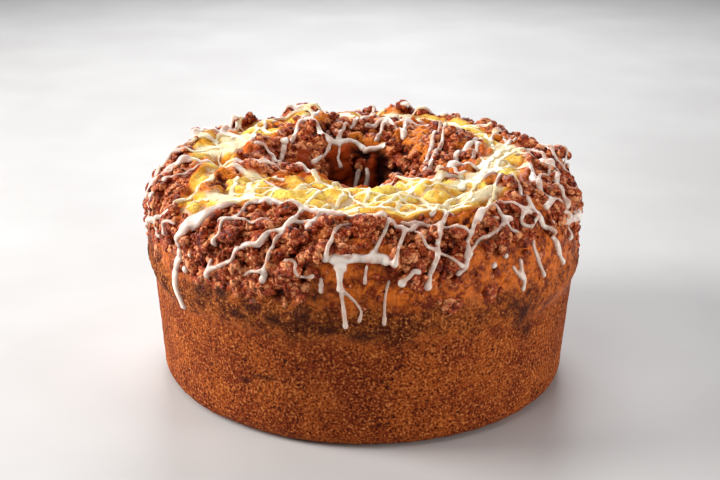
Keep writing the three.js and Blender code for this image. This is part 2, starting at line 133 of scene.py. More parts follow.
# The icing's lines: width in mm, then the (degrees, place) of their points. Spots were picked on the
# photo. For many lines, mostly at the sides, behind the hole and over the yellow crumb, a scratch
# program turned them into degrees and place, and its numbers were kept with small changes or none.
DRIZZLE = [
    # the left of the front, with the long drip
    (6.2, (-44.5, 55), (-46, 51.5), (-47.5, 48), (-49.5, 42), (-51, 34), (-52.5, 25), (-54, 19), (-54, 12),
     (-53, 5), (-52, -2)),
    (2.6, (-52, 48), (-55, 47.5), (-57.5, 45), (-58.5, 40), (-58.5, 37)),
    (3.6, (-68, 102), (-66, 95), (-64, 89), (-61, 83), (-59.5, 78), (-58, 72), (-57, 66), (-56.5, 60),
     (-58, 54), (-60.5, 48), (-65, 43), (-71, 37), (-74, 32)),
    (8.0, (-36, 80), (-39, 72), (-41, 66), (-42.5, 61), (-44, 56), (-46, 52), (-47.5, 48)),
    (2.4, (-39.5, 57), (-37, 59), (-35.5, 61), (-35, 69), (-35, 73), (-29, 78), (-28, 77)),
    (2.6, (-35.5, 61), (-32.5, 62), (-30, 62), (-28, 62.5), (-26, 66)),
    (3.0, (-35.5, 61), (-36.5, 57), (-36, 51), (-37, 47.5), (-37, 44)),
    (2.6, (-38, 37.5), (-39, 31), (-40.5, 26)),
    (2.8, (-39, 31), (-37, 33), (-33, 38), (-31.5, 40), (-31, 44), (-30, 47)),
    (3.6, (-30, 47), (-28, 49), (-25, 50.5), (-24, 55), (-23.5, 57.5), (-22.3, 59), (-20, 61)),
    (3.0, (-18, 78), (-18.5, 73), (-19, 66.5), (-20, 61), (-21, 55), (-22, 49), (-22.5, 43),
     (-23, 38), (-23.8, 31)),
    (1.8, (-29, 32), (-27, 35), (-24.5, 36.5), (-23.3, 37.5)),
    (2.6, (-19, 66.5), (-17, 67.5), (-15, 69), (-13.5, 69)),
    (3.0, (-12, 76.5), (-12.5, 72), (-14, 66.5), (-14.5, 62)),
    (2.6, (-18, 78), (-16, 79.5), (-14.3, 78.5), (-13.5, 74.5)),
    (3.0, (-53, 58), (-53, 63), (-51.5, 68), (-49, 71), (-45, 70)),
    # the middle of the front, with the thick run and its drips
    (3.0, (-12, 77), (-9, 75.5), (-5.5, 73.5), (-2.5, 73.5), (0.5, 75), (2.3, 73.5), (4.2, 70), (6, 69.5)),
    (2.6, (-3.5, 69.5), (-5.5, 67), (-7, 64), (-7.5, 58.5), (-8, 53), (-8.5, 48.5), (-9, 44.5)),
    (5.6, (-8, 45.4), (-7, 46.5), (-5.2, 47), (-2.7, 47.7), (0.5, 47.5), (4.4, 47.3), (6, 45)),
    (6.6, (-7.2, 47), (-6, 46), (-5.3, 43), (-5.3, 39.5)),
    (3.6, (-5.3, 43), (-5.3, 35), (-5, 29.5)),
    (2.8, (-5, 29.5), (-4.7, 24), (-4.3, 18), (-3.9, 9.5)),
    (1.9, (-4.3, 30), (-2.8, 27), (-1.2, 23), (-0.4, 20), (-0.6, 16.5), (-1, 13.5)),
    (2.0, (0.8, 44.5), (0.5, 40.5), (0.3, 34)),
    (2.4, (-9.6, 37), (-9.6, 33), (-9.7, 28)),
    (2.6, (-18.4, 44), (-16.8, 44.5), (-15.5, 43.5), (-15, 39.5), (-13.9, 37), (-12.3, 36.8), (-11, 38.5)),
    (2.0, (6, 36), (5.2, 30), (4.9, 24), (4.9, 18), (4.8, 12)),
    # the right of the front
    (2.6, (7, 68.5), (5.6, 64.5), (3.8, 57.5), (2.5, 51.5), (1.5, 49.5)),
    (2.6, (7.2, 68.3), (8.5, 65), (10, 64), (9, 57), (7.9, 51.5), (7.1, 46.5), (6.7, 43)),
    (2.6, (9.5, 68.5), (12.8, 67.5), (15.5, 66.5), (17, 64.5), (19, 63), (21.3, 63), (24, 60.5), (27.3, 59)),
    (2.2, (10, 64), (11.8, 63.5), (13, 65), (14, 66.5)),
    (2.2, (13, 62.5), (14, 57.5), (15, 52.5), (17, 49.5), (18.5, 48), (20.7, 44.5), (22.8, 41)),
    (3.0, (25, 78), (22.5, 70), (19.5, 63.5), (18, 56), (17.2, 50), (16, 44), (15.2, 38.5), (14.8, 31.5)),
    (2.8, (35, 71), (30.5, 65), (28, 59), (25.7, 53), (24.3, 45.5), (23.2, 39.5), (22.5, 35.5)),
    (2.8, (30, 62.5), (33, 67), (36, 69.5), (38.5, 67), (38.5, 62), (40, 58)),
    (2.8, (24.3, 45.5), (26.8, 49), (29.5, 53.5), (32.5, 54.5), (36.5, 57.5), (40, 61.5)),
    (1.8, (38, 59), (39.5, 51)),
    (2.6, (8.7, 36), (10, 38), (11.5, 41), (13, 40)),
    (1.8, (35.5, 64), (37, 62)),
    (2.6, (37.5, 72), (41, 72), (44, 69), (44.5, 65), (45, 61), (47, 58)),
    (2.4, (53.5, 51), (56, 49)),
    (2.8, (49.5, 62.5), (44.5, 60), (43, 56.5), (44.5, 52.5), (47, 54.5), (48.5, 56), (50, 54)),
    (2.6, (44, 46), (45, 41), (46.5, 35), (48.5, 28), (49.8, 21.5)),
    (2.0, (55, 37.5), (56.5, 29.5)),
    (2.6, (40.3, 37.5), (41, 30.5), (42, 23.5), (41.3, 18.5)),
    (2.2, (38, 34.5), (39.7, 29.5), (42, 25.5)),
    # round the right side
    (4.0, (53, 58), (58, 60), (62, 61)),
    (5.6, (61.5, 46), (66.5, 43), (75, 40)),
    (3.8, (63, 52), (65.5, 48), (66.5, 43), (66.5, 36), (66, 31)),
    (5.0, (14, 101), (20, 108), (28, 111), (40, 117), (54, 124), (63, 124), (69, 120), (72, 113), (76, 108)),
    (3.0, (63, 122), (55, 115), (46, 105)),
    (5.6, (39, 101), (48, 101), (58, 103), (70, 106), (81, 106), (90, 103), (97, 97), (101, 89)),
    (3.6, (56, 98), (66, 101), (76, 101), (86, 98), (93, 93), (98, 86), (98, 78)),
    (3.2, (50, 134), (68, 138), (88, 139), (105, 134), (113, 127), (122, 114), (127, 100), (126, 91),
     (118, 93), (108, 98), (98, 102)),
    (4.0, (70, 127), (82, 126), (92, 124), (101, 117), (109, 109), (117, 99)),
    (3.2, (84, 116), (96, 113), (106, 108)),
    (3.2, (83, 146), (95, 143), (104, 140), (112, 135), (120, 130), (129, 121), (137, 110), (142, 96)),
    (4.4, (66, 98), (72, 97), (77, 95), (80, 90), (77, 84), (70, 79), (63, 75), (60, 69), (60, 63),
     (61, 58), (63, 52)),
    (3.2, (98, 80), (92, 75), (84, 71), (77, 68), (71, 64), (69, 59), (68, 54), (67, 50)),
    (3.6, (103, 80), (99, 73), (95, 69), (92, 65), (91, 60), (89, 54)),
    (3.4, (84, 81), (82, 77), (81, 73)),
    (3.2, (64, 93), (59, 86), (56, 81), (54, 76), (51, 70), (49, 64), (49, 58), (50, 53), (51.5, 48),
     (53.5, 42), (56, 35), (58, 28), (60, 22.5)),
    (3.2, (64, 93), (57, 90), (51, 87), (46, 83), (42, 78), (38, 72)),
    (3.0, (64, 93), (55, 93), (48, 94)),
    (3.0, (104, 94), (109, 86), (113, 77), (115, 70)),
    (2.6, (88, 88), (87, 80), (84, 72), (82, 64), (81, 57)),
    (2.4, (100, 66), (95, 60), (90, 54), (86, 48), (84, 42)),
    (2.6, (110, 100), (117, 92), (122, 84), (124, 76)),
    # round the left side
    (4.4, (-79, 44), (-81, 52), (-81, 60), (-82, 66), (-83, 72), (-82, 78), (-81, 86), (-79, 95), (-78, 103)),
    (4.4, (-86, 54), (-90, 60), (-93, 66), (-93, 73), (-94, 80), (-96, 88), (-98, 96), (-98, 104)),
    (3.4, (-104, 60), (-106, 66), (-105, 74), (-106, 80), (-108, 88)),
    (3.0, (-110, 80), (-113, 86), (-115, 92), (-112, 99), (-106, 106), (-98, 112)),
    (2.8, (-114, 76), (-119, 80), (-126, 78), (-132, 76)),
    (3.4, (-93, 113), (-94, 119), (-94, 124), (-88, 127)),
    (2.4, (-73, 92), (-73, 84), (-72, 76), (-72, 68), (-75, 60)),
    (2.2, (-86, 78), (-82, 72), (-80, 66), (-82, 58), (-80, 52)),
    (2.4, (-100, 74), (-108, 66), (-114, 62), (-120, 56)),
    (3.4, (-98, 64), (-103, 69), (-108, 75), (-116, 78), (-124, 77)),
    (3.6, (-116, 85), (-122, 93), (-120, 101), (-112, 107)),
    (4.4, (-79, 100), (-74, 107), (-68, 113), (-64, 119), (-58, 124), (-45, 127), (-33, 127), (-24, 124),
     (-16, 120)),
    (4.6, (-66, 98), (-62, 100), (-58, 102), (-54, 104), (-50, 108), (-46, 113)),
    (3.4, (-56, 95), (-50, 87), (-46, 82), (-43, 77)),
    (4.4, (-50, 98), (-45, 90), (-41, 84), (-38, 77)),
    (2.8, (-45, 99), (-40, 88), (-36, 78)),
    # behind the hole
    (3.6, (-79, 130), (-86, 129), (-100, 129), (-114, 126), (-127, 123), (-135, 119), (-141, 116),
     (-146, 119)),
    (5.0, (-147, 118), (-152, 113), (-160, 104), (-166, 92)),
    (4.4, (-146, 119), (-145.5, 126), (-146, 132), (-149, 138), (-155, 139), (-163, 137), (-172, 137),
     (-181, 141)),
    (3.2, (-155, 139), (-160, 133), (-166, 126), (-172, 121), (-175, 114), (-178, 100), (-182, 92)),
    (3.0, (-147, 139), (-141, 143), (-134, 146), (-125, 147), (-112, 148)),
    (2.4, (-156, 141), (-153, 146), (-150, 151), (-150, 157)),
    (5.0, (181, 146), (177, 142.5), (170, 140.5), (163, 139), (158, 140)),
    (3.2, (171, 137), (169, 128), (168, 120), (168, 108)),
    (3.4, (180, 119), (174, 115), (168, 112), (161, 121), (154, 125), (150, 129)),
    (3.2, (150, 131), (153, 125), (158, 110), (161, 92)),
    (3.6, (172, 96), (166, 100), (158, 103), (150, 104), (145, 100)),
    (3.2, (166, 76), (158, 73), (151, 76)),
    (3.2, (-150, 74), (-160, 80), (-170, 78), (-180, 82), (-188, 80)),
    (3.0, (-140, 80), (-134, 90), (-130, 98), (-126, 106)),
    (3.4, (-174, 158), (-172, 164), (-169, 170), (-167, 176)),
    (3.2, (178, 157), (176, 162), (177, 167), (179, 171)),
    # over the yellow crumb at the front
    (2.4, (-38, 84), (-37, 90), (-35, 100), (-31, 108), (-26, 111)),
    (3.6, (-43, 80), (-33, 80), (-22, 82)),
    (2.6, (-22, 97), (-20, 108), (-16, 120), (-12, 121), (-9, 118), (-3, 118), (2, 115)),
    (2.4, (-18, 81), (-12, 80), (-5, 80), (-2, 83), (3, 82), (11, 82), (14, 79), (17, 77), (24, 78),
     (28, 82)),
    (2.6, (-31, 76), (-32.5, 85), (-34, 94), (-33, 104), (-25, 104), (-18, 102.5)),
    (2.6, (-18.5, 83), (-18.5, 97), (-15.5, 109), (-9, 106), (-9.5, 96), (-13.5, 86)),
    (2.6, (-10.5, 82), (-9, 98), (-5, 106), (0.5, 105), (1.5, 97)),
    (2.2, (-6, 83), (-4.5, 92), (0.5, 95), (5, 94)),
    (2.8, (-21.5, 81), (-13, 80), (-5.5, 81), (2, 83.5), (10, 85.5), (13.5, 90)),
    (2.8, (0.5, 87), (6, 100), (12.5, 104), (19.5, 105.5), (26, 110)),
    (2.4, (2.5, 81), (7, 89.5), (13.5, 97.5), (18, 97.5)),
    (2.4, (12.5, 95), (10.5, 86), (11, 79), (13.5, 76), (17, 78)),
    (3.0, (-39.5, 71), (-35, 75.5), (-28.5, 78), (-22.5, 79), (-15.5, 76.5), (-8.5, 77.5), (-1, 80)),
    (3.2, (19.5, 78.5), (27, 86), (34.5, 89.5), (41, 93)),
    (2.6, (20, 87), (21.5, 80), (25.5, 76.5), (31.5, 78.5), (38, 82)),
    (2.8, (15, 97), (20, 97), (23, 85), (28, 82), (34, 82), (38, 86), (43, 93), (48, 93)),
    (2.2, (12, 92), (11.5, 86), (10, 82)),
    (3.0, (12, 73), (15.5, 77.5), (18, 82)),
    (3.0, (18, 71), (21, 74.5), (25, 78)),
    (2.2, (0, 95), (2, 108), (4, 125), (7, 132)),
    (2.8, (29, 76), (33, 72)),
]

# Single drops of icing: degrees, place and width in mm
DROPS = [
    (-49, 24.5, 4.4), (-45.5, 35, 2.6), (35.7, 41, 3.4), (32.5, 37, 4.0), (8.6, 35.4, 4.6),
    (14.8, 31.8, 4.8), (4.9, 16, 2.8), (-40.4, 26.5, 4.2), (-23.7, 32, 4.2), (-26.5, 65.5, 4.6),
    (57.5, 57.5, 5.4), (75, 40, 7.5), (68, 42, 6.5), (165, 80, 7.0), (150, 78, 6.0),
    (-112, 126, 5.5), (22.6, 36.5, 3.8), (-9.6, 33, 3.2), (-73, 62, 4.4), (-70, 52, 4.6),
]

# Where the cake swells or sinks: degrees, place, half width in degrees, half width and height in mm.
# The CAD solid has all but the last, which lets the hole open at the front.
LOBES = [
    (-152, 122, 14, 17, 8.0), (-176, 116, 10, 12, 3.0), (158, 120, 12, 13, 3.5), (122, 122, 22, 17, 6.0),
    (-98, 116, 11, 9, 4.0), (-66, 90, 7, 12, 3.5), (80, 128, 15, 10, 3.0), (29, 104, 6, 9, 4.0),
    (52, 88, 10, 9, 3.0), (-42, 124, 11, 8, 2.5), (-88, 52, 32, 16, -1.5), (86, 50, 28, 16, -3.5),
    (160, 76, 26, 12, 2.0), (-112, 75, 8, 9, 4.0), (-158, 79, 6, 8, 4.0), (166, 79, 5, 8, 2.5),
    (179, 82, 5, 8, -2.0), (99, 66, 7, 8, 5.5), (50, 62, 7, 9, 3.0), (62, 70, 6, 8, 3.0),
    (72, 58, 8, 8, 2.0), (-2, 136, 22, 16, -5.5),
]

# Dark cinnamon smears: degrees, place, half width in degrees and half width in mm
CINNAMON = [
    (43, 4, 2.6, 9), (46, -7, 2.2, 6), (39, 13, 2.0, 4), (-80, 12, 3.5, 14), (-83, -12, 3.0, 12),
    (-74, 28, 2.0, 8), (-25, -26, 3.2, 1.3), (-31, -30, 2.0, 1.6), (20, 19, 3.6, 2.0), (-11, 27, 3.0, 5),
    (-14, 16, 2.5, 6), (0, 5, 4.0, 4), (-8, 8, 3.0, 4), (-43, 17, 3.6, 4), (-36, 19, 2.6, 3.2),
    (-27, 15, 2.8, 3), (-21, 10, 2.4, 3.4), (-31, 10, 2.6, 2.4),
]

# Where the dull band over the rim is weakest: degrees, then width in degrees
BAND_GAP = (58, 24)

# What the streusel's random draws start from, what the icing's do, and the noise of its first line
SEED = 20
ICING_SEED = SEED + 1
LINE_SEED = 60

# The usual value of lumps, which is taken off them so that they rise and sink about the surface
USUAL_LUMP = 0.68

# The masks that a point of the cake carries for its colours
MASKS = ("torn", "bed", "inner", "wall", "band", "edge", "glaze", "cinnamon", "hole", "relief")

# How crumbs are scattered: how many are tried and the most that are kept, least and greatest width in
# mm, how near they may stand to each other as a share of their widths, and their first and last place
OUTER_SCATTER = (30000, 480, 4.6, 10.5, 0.6, 12, 92)
INNER_SCATTER = (11000, 170, 4.0, 8.5, 0.66, 92, 160)
GRAIN_SCATTER = (30000, 1200, 2.4, 4.4, 0.6, 10, 160)
FINE_SCATTER = (60000, 2600, 1.2, 2.4, 0.6, 8, 160)

# How they are made: how far their middles stand off the cake and the half size of their cores, both
# as shares of their width, then how many smaller crumbs stick to each and how fine their balls are
CLUMP_MAKE = (0.18, 0.44, 8, 2)
CRUMB_MAKE = (0.06, 0.44, 3, 1)
GRAIN_MAKE = (0.2, 0.5, 0, 1)
FINE_MAKE = (0.2, 0.5, 0, 0)

# Least and greatest shares: of a core's half size in its three directions, of the way out of a core
# at which a smaller crumb's middle lies, and of the core's size that the smaller crumb has
CORE_SHARES = (1.0, 0.7, 0.6), (1.4, 1.0, 0.95)
SATELLITE_REACH = (0.65, 0.95)
SATELLITE_SHARES = (0.42, 0.72)

# The lowest crumbs sink into the crust: by what share of their width, and between which places the
# sinking fades away
SUNK_SHARE = 0.34
SUNK_FADE = (24, 44)

# The icing in mm
ICING_STEP = 0.7
ICING_SPAN = 7
ICING_DEPTH_SHARE, ICING_DEPTH_MOST = 0.42, 1.8
ICING_SUNK = 0.8
BRIDGED_LENGTH = 1.8
DROP_DEPTH_SHARE, DROP_DEPTH_MOST = 0.34, 1.7
DROP_LIFT = 0.1
ICING_VOXEL = 0.55
ICING_SMOOTHING, ICING_SMOOTHING_SHARE = 3, 0.5
ICING_FACES_KEPT = 0.385
SETTLING_STEPS, SETTLING_REACH, SETTLING_SPAN = 3, 0.8, 5
JOINT_REACH = 4.0
NET_LINES = 32
NET_WIDTHS = (1.7, 2.6)
BACK_LINES = 26
BACK_POINTS = 7
STROKE_WIDTHS = (2.0, 4.0)
PROBE_HEIGHT = 16.0

# The lights: name, place, the spot they shine at and width, all in metres, then watts and colour
LIGHTS = [
    ("key", (-1.12, 0.0, 0.56), (0, 0, 0.06), 0.6, 20, (1.0, 0.98, 0.95)),
    ("back", (0.0, 1.1, 0.8), (0, 0, 0.08), 0.9, 12, (0.97, 0.98, 1.0)),
    ("right", (1.1, -0.5, 0.25), (0, 0, 0.05), 0.5, 7.2, (1.0, 0.97, 0.94)),
    ("top", (-0.3, -0.5, 1.2), (0, 0, 0.1), 0.7, 4, (1.0, 0.99, 0.97)),
]
WORLD_COLOUR, WORLD_STRENGTH = (0.95, 0.97, 1.0, 1.0), 0.21

# The floor's side in metres
FLOOR_SIZE = 8.0


# ---- numbers ----


def smooth(low, high, value):
    """0 below low, 1 above high, and a smooth rise between."""
    share = np.clip((value - low) / (high - low), 0, 1)
    return share * share * (3 - 2 * share)


def bell(away):
    """A bell that is 1 where away is 0 and 0.37 where it is 1."""
    return np.exp(-(away**2))


def bump_at(middle, width, value):
    """A bell that is 1 where value is at the middle."""
    return bell((value - middle) / width)


def turned(degrees, middle=0):
    """Degrees as counted from a middle, from -180 to 180."""
    return (degrees - middle + 180) % 360 - 180


def ring_table(table, degrees):
    """Each column of a table at an angle, straight between its rows."""
    rows_degrees, *columns = np.array(table, float).T
    return [np.interp(turned(degrees), rows_degrees, column) for column in columns]


def scrambled(cell, seed):
    """An unordered value from 0 to 1 for each whole-number cell, the same on each run."""
    mixed = cell[..., 0] * 374761393 + cell[..., 1] * 668265263 + cell[..., 2] * 1440662683
    mixed = (mixed + seed * 974634777) & 0xFFFFFFFF
    mixed = ((mixed ^ (mixed >> 13)) * 1274126177) & 0xFFFFFFFF
    return ((mixed ^ (mixed >> 16)) & 0xFFFF) / 65535


def noise(points, size, seed):
    """Smooth noise from -1 to 1, its lumps about size across."""
    place = points / size
    cell = np.floor(place).astype(np.int64)
    share = place - cell
    share = share * share * (3 - 2 * share)
    total = np.zeros(len(points))
    for corner in np.ndindex(2, 2, 2):
        weight = np.prod(np.where(corner, share, 1 - share), axis=-1)
        total += weight * scrambled(cell + np.array(corner), seed)
    return 2 * total - 1


def lumps(points, size, seed):
    """Rounded lumps about size across: 1 in each middle, falling to the creases between them."""
    place = points / size
    cell = np.floor(place).astype(np.int64)
    nearest = np.full(len(points), 4.0)
    for step in np.ndindex(3, 3, 3):
        near = cell + np.array(step) - 1
        middle = near + np.stack([scrambled(near, seed + k) for k in range(3)], axis=-1)
        nearest = np.minimum(nearest, ((place - middle) ** 2).sum(axis=-1))
    return np.clip(1 - nearest, 0, 1)


# ---- the plain shape ----


def arc(start, end, count, radius_share, height_share):
    """Points from start to end, whose shares of the way are functions of a quarter turn's angle."""
    turns = np.linspace(0, math.pi / 2, count)[1:]
    radii = start[0] + (end[0] - start[0]) * radius_share(turns)
    heights = start[1] + (end[1] - start[1]) * height_share(turns)
    return np.stack([radii, heights], axis=1)


def even(turns):
    """Shares of the way that grow evenly over a quarter turn."""
    return turns / (math.pi / 2)


def late(turns):
    """Shares of the way that grow slowly at first, and fastest at the end of a quarter turn."""
    return 1 - np.cos(turns)


def cake_section():
    """The section's [place, radius, height] in mm. Place 0 is the rim, and the section runs from the
    hole's lower edge across the base, up the wall, over the crown and down the hole to where it began."""
    hole_base = (HOLE_BASE_RADIUS, 0.0)
    foot = (BASE_RADIUS - FILLET, 0.0)
    wall = (BASE_RADIUS, FILLET)
    rim = (RIM_RADIUS, RIM_HEIGHT)
    lip = (CROWN_RADIUS, LIP_TOP)
    side = (CROWN_RADIUS, SIDE_TOP)
    ridge = (RIDGE_RADIUS, RIDGE_HEIGHT)
    mouth = (MOUTH_RADIUS, MOUTH_HEIGHT)
    throat = (THROAT_RADIUS, THROAT_HEIGHT)

    def over(turns):
        return 1 - np.clip(np.cos(turns), 0, 1) ** SHOULDER_POWER

    def up(turns):
        return np.sin(turns) ** SHOULDER_POWER

    before = [[hole_base, foot], arc(foot, wall, FOOT_ARC, np.sin, late), [rim]]
    after = [
        arc(rim, lip, LIP_ARC, np.sin, even),
        [side],
        arc(side, ridge, CROWN_ARC, over, up),
        arc(ridge, mouth, HOLE_ARC, even, lambda turns: even(turns) ** 2),
        arc(mouth, throat, HOLE_ARC, np.sin, late),
        [hole_base],
    ]
    points = np.concatenate([np.array(part, float) for part in before + after])
    steps = np.hypot(*np.diff(points, axis=0).T)
    places = np.concatenate([[0], np.cumsum(steps)])
    rim_index = sum(len(part) for part in before) - 1
    return places - places[rim_index], points[:, 0], points[:, 1]


PLACES, RADII, HEIGHTS = cake_section()
FOOT_PLACE, THROAT_PLACE = PLACES[1], PLACES[-2]


def section_at(place):
    """The section's radius and height at a place."""
    return np.interp(place, PLACES, RADII), np.interp(place, PLACES, HEIGHTS)


def section_normal(place):
    """The section's outward [radial, upward] direction at a place."""
    low_radius, low_height = section_at(place - SLOPE_REACH)
    high_radius, high_height = section_at(place + SLOPE_REACH)
    along_r, along_z = high_radius - low_radius, high_height - low_height
    length = np.hypot(along_r, along_z)
    return along_z / length, -along_r / length


def turned_round(radial, degrees, upward):
    """Points or directions from their radial and upward parts, turned round the cake's axis."""
    angle = np.radians(degrees)
    return np.stack([radial * np.sin(angle), -radial * np.cos(angle), upward], axis=-1)


def surface(degrees, place, lift):
    """Points in mm that stand lift off the plain cake."""
    radius, height = section_at(place)
    normal_r, normal_z = section_normal(place)
    return turned_round(radius + normal_r * lift, degrees, height + normal_z * lift)


def directions(degrees, place):
    """The plain cake's directions at each spot: round the ring, up along the section, and outward."""
    normal_r, normal_z = section_normal(place)
    outward = turned_round(normal_r, degrees, normal_z)
    angle = np.radians(degrees)
    along = np.stack([np.cos(angle), np.sin(angle), np.zeros(len(angle))], axis=-1)
    return along, np.cross(outward, along), outward


def located(points):
    """The degrees and the place on the crown that are nearest to each point in mm."""
    crown_places = np.arange(0, PLACES[-1], PLACE_STEP)
    radii, heights = section_at(crown_places)
    away = (radii - np.hypot(points[:, :1], points[:, 1:2])) ** 2 + (heights - points[:, 2:]) ** 2
    degrees = np.degrees(np.arctan2(points[:, 0], -points[:, 1]))
    return degrees, crown_places[np.argmin(away, axis=1)]


def on_drum(radius, degrees, stretched):
    """Points for noise whose lumps are drawn out along the cake's section, as if it were a drum."""
    angle = np.radians(degrees)
    return np.stack([radius * np.sin(angle), radius * np.cos(angle), stretched], axis=-1)


# ---- the cake ----


def shares_from(table, degrees, place):
    """For each of a table's ovals, how far points are from its middle round the ring and along the
    section, as shares of its half widths, with the row's other numbers."""
    for middle, middle_place, half_turn, half_length, *others in table:
        yield turned(degrees, middle) / half_turn, (place - middle_place) / half_length, *others


def ovals(table, degrees, place, ragged):
    """1 within a table's ragged ovals, 0 away from them."""
    away = [np.hypot(turn, length) for turn, length in shares_from(table, degrees, place)]
    return smooth(1.2, 0.9, np.min(away, axis=0) + 0.08 * ragged)


def smeared(degrees, place):
    """1 in the middle of the cinnamon smears, 0 away from them."""
    smears = [bell(turn) * bell(length) for turn, length in shares_from(CINNAMON, degrees, place)]
    return np.max(smears, axis=0)


def lobes(degrees, place):
    """The swollen parts of the crust, in mm."""
    return sum(
        height * np.exp(-((turn**2 + length**2) ** 2))
        for turn, length, height in shares_from(LOBES, degrees, place)
    )


def bed_cover(degrees, place, zone):
    """1 where a streusel bed lies, 0 on the bare cake. It is thin and patchy at the front and right."""
    outer_edge, inner_edge = ring_table(TORN_RING, degrees)
    (low_edge,) = ring_table(STREUSEL_EDGE, degrees)
    outer = np.minimum(place - low_edge, outer_edge - place)
    inner = np.minimum(place - inner_edge, INNER_STREUSEL_END - place)
    cover = smooth(-1.5, 2.5, np.maximum(outer, inner) + 1.5 * zone.ragged)
    patches = smooth(0.05, 0.3, noise(zone.at, 15, 31))
    right = smooth(34, 52, degrees) * (1 - smooth(106, 126, degrees))
    thin = np.maximum(right, bump_at(-2, 12, degrees))
    bare = thin * smooth(0.1, -0.25, noise(zone.at, 11, 71)) * (1 - zone.inner)
    cover = cover * (1 - zone.torn) * (1 - zone.inner * (1 - patches)) * (1 - bare)
    return np.maximum(cover, ovals(HOLE_STREUSEL, degrees, place, zone.ragged))


def zones(degrees, place):
    """Where each kind of surface lies, from 0 to 1, with the plain points, how far out of line the
    edges run and how far inside the torn ring each point is, in mm."""
    at = surface(degrees, place, 0.0)
    ragged = 2.4 * noise(at, 9, 1) + 1.3 * noise(at, 3.4, 2)
    outer_edge, inner_edge = ring_table(TORN_RING, degrees)
    (hole_edge,) = ring_table(HOLE_EDGE, degrees)
    inside = np.minimum(place - outer_edge, inner_edge - place) + ragged
    island = ovals(ISLANDS, degrees, place, ragged)
    torn = smooth(-0.8, 0.9, inside) * (1 - island)
    inner = np.maximum(smooth(-2, 2, place - inner_edge) * (1 - torn), island)
    band = smooth(-9, 9, place + 2 * ragged) * (1 - smooth(14, 27, place + 2.5 * ragged))
    inner_brown = bump_at(0.0, 6.0, inner_edge + 2 - place) * (1 - torn)
    zone = SimpleNamespace(at=at, ragged=ragged, inside=inside, torn=torn, inner=inner)
    zone.bed = bed_cover(degrees, place, zone)
    zone.wall = 1 - smooth(-6, 5, place + 1.5 * ragged)
    zone.band = band * (1 - 0.6 * bump_at(*BAND_GAP, degrees))
    zone.edge = np.maximum(bump_at(0.0, 3.2, inside), inner_brown)
    zone.glaze = ovals(POOLS, degrees, place, 1.5 * ragged)
    zone.cinnamon = smeared(degrees, place + 0.6 * ragged)
    zone.hole = smooth(-1, 10, place - hole_edge + ragged)
    return zone


def torn_shape(degrees, place, zone):
    """The torn crumb's lift in mm, and how far each point stands out of its creases: ropy lumps that
    run across the ring, with finer ones on them."""
    at = zone.at
    drum = on_drum(RIDGE_RADIUS, degrees, 1.3 * place)
    warp = np.stack([noise(at, 10, seed) for seed in (31, 32, 33)], axis=-1)
    big = lumps(drum + 4.0 * warp, 15, 21)
    small = lumps(drum + 2.0 * warp, 6.5, 25)
    lift = 7.4 * (big - USUAL_LUMP) + 2.0 * (small - USUAL_LUMP)
    lift += 0.5 * noise(at, 2.4, 27)
    lift += 0.2 * noise(at, 1.4, 28)
    lift -= 1.8 * smooth(0, 8, zone.inside)
    return lift * (1 - 0.55 * zone.glaze), 1.4 * (big - 0.4) + 1.0 * (small - 0.4)


def flutes(degrees, place):
    """The upright folds down the hole, about from -1 to 1."""
    drum = on_drum(THROAT_RADIUS, degrees, 0.12 * place)
    return 0.9 * noise(drum, 11, 51) + 0.5 * noise(drum, 4.5, 52)


def crust_shape(degrees, place, zone):
    """The baked crust's lift in mm, and how far each point stands out of its creases."""
    at, bed, inner, band, hole = zone.at, zone.bed, zone.inner, zone.band, zone.hole
    angle = np.radians(degrees)
    big = lumps(at, 7.2, 11)
    fine = lumps(at, 3.2, 15)
    craggy = lumps(at + 2.0 * zone.ragged[:, None], 13, 61)
    big_rise, fine_rise, craggy_rise = big - USUAL_LUMP, fine - USUAL_LUMP, craggy - USUAL_LUMP
    folds = flutes(degrees, place)

    rise = smooth(0, 27, place) * (1 - smooth(140, THROAT_PLACE, place))
    crown = smooth(0, 12, place) * (1 - smooth(THROAT_PLACE - 6, THROAT_PLACE + 8, place))
    upper = hole * (1 - smooth(THROAT_PLACE, THROAT_PLACE + 34, place))
    swell = 1.2 * np.sin(3 * angle + 0.6) * np.sin(5 * angle + place / 20) - 1.5
    torn_lip = 2.0 * bump_at(-2.0, 2.2, zone.inside) * (1 + 0.5 * noise(at, 5, 10))

    lift = rise * swell + crown * (0.9 * noise(at, 16, 3) + 0.5 * noise(at, 6, 4))
    lift += crown * (torn_lip + 0.35 * noise(at, 2.6, 5))
    lift += crown * (1 - band) * 0.8 * fine_rise
    lift += bed * (4.6 * big_rise + 2.6 * fine_rise + 0.4 * noise(at, 1.8, 73) - 0.6)
    lift += inner * (1 - hole) * (7.5 * craggy_rise + 3.0 * big_rise + 1.4 * fine_rise)
    lift += hole * (3.4 * folds - 3.5 * (1 - smooth(THROAT_PLACE, THROAT_PLACE + 30, place)))
    lift += upper * (5.5 * (craggy - 0.6) + 3.0 * big_rise)
    lift += band * (0.7 * fine_rise + 0.3 * noise(at, 2.6, 6))
    lift += zone.wall * (0.3 * noise(at, 18, 7) + 0.2 * noise(at, 5, 8) + 0.12 * noise(at, 2.6, 9))

    creases = 0.9 * (big - 0.4) + 0.9 * (fine - 0.4) + inner * 1.1 * (craggy - 0.72)
    hole_creases = 0.42 + 0.6 * folds + 0.5 * (big - 0.6) + 0.7 * (craggy - 0.6)
    return lift, creases * (1 - hole) + hole * hole_creases


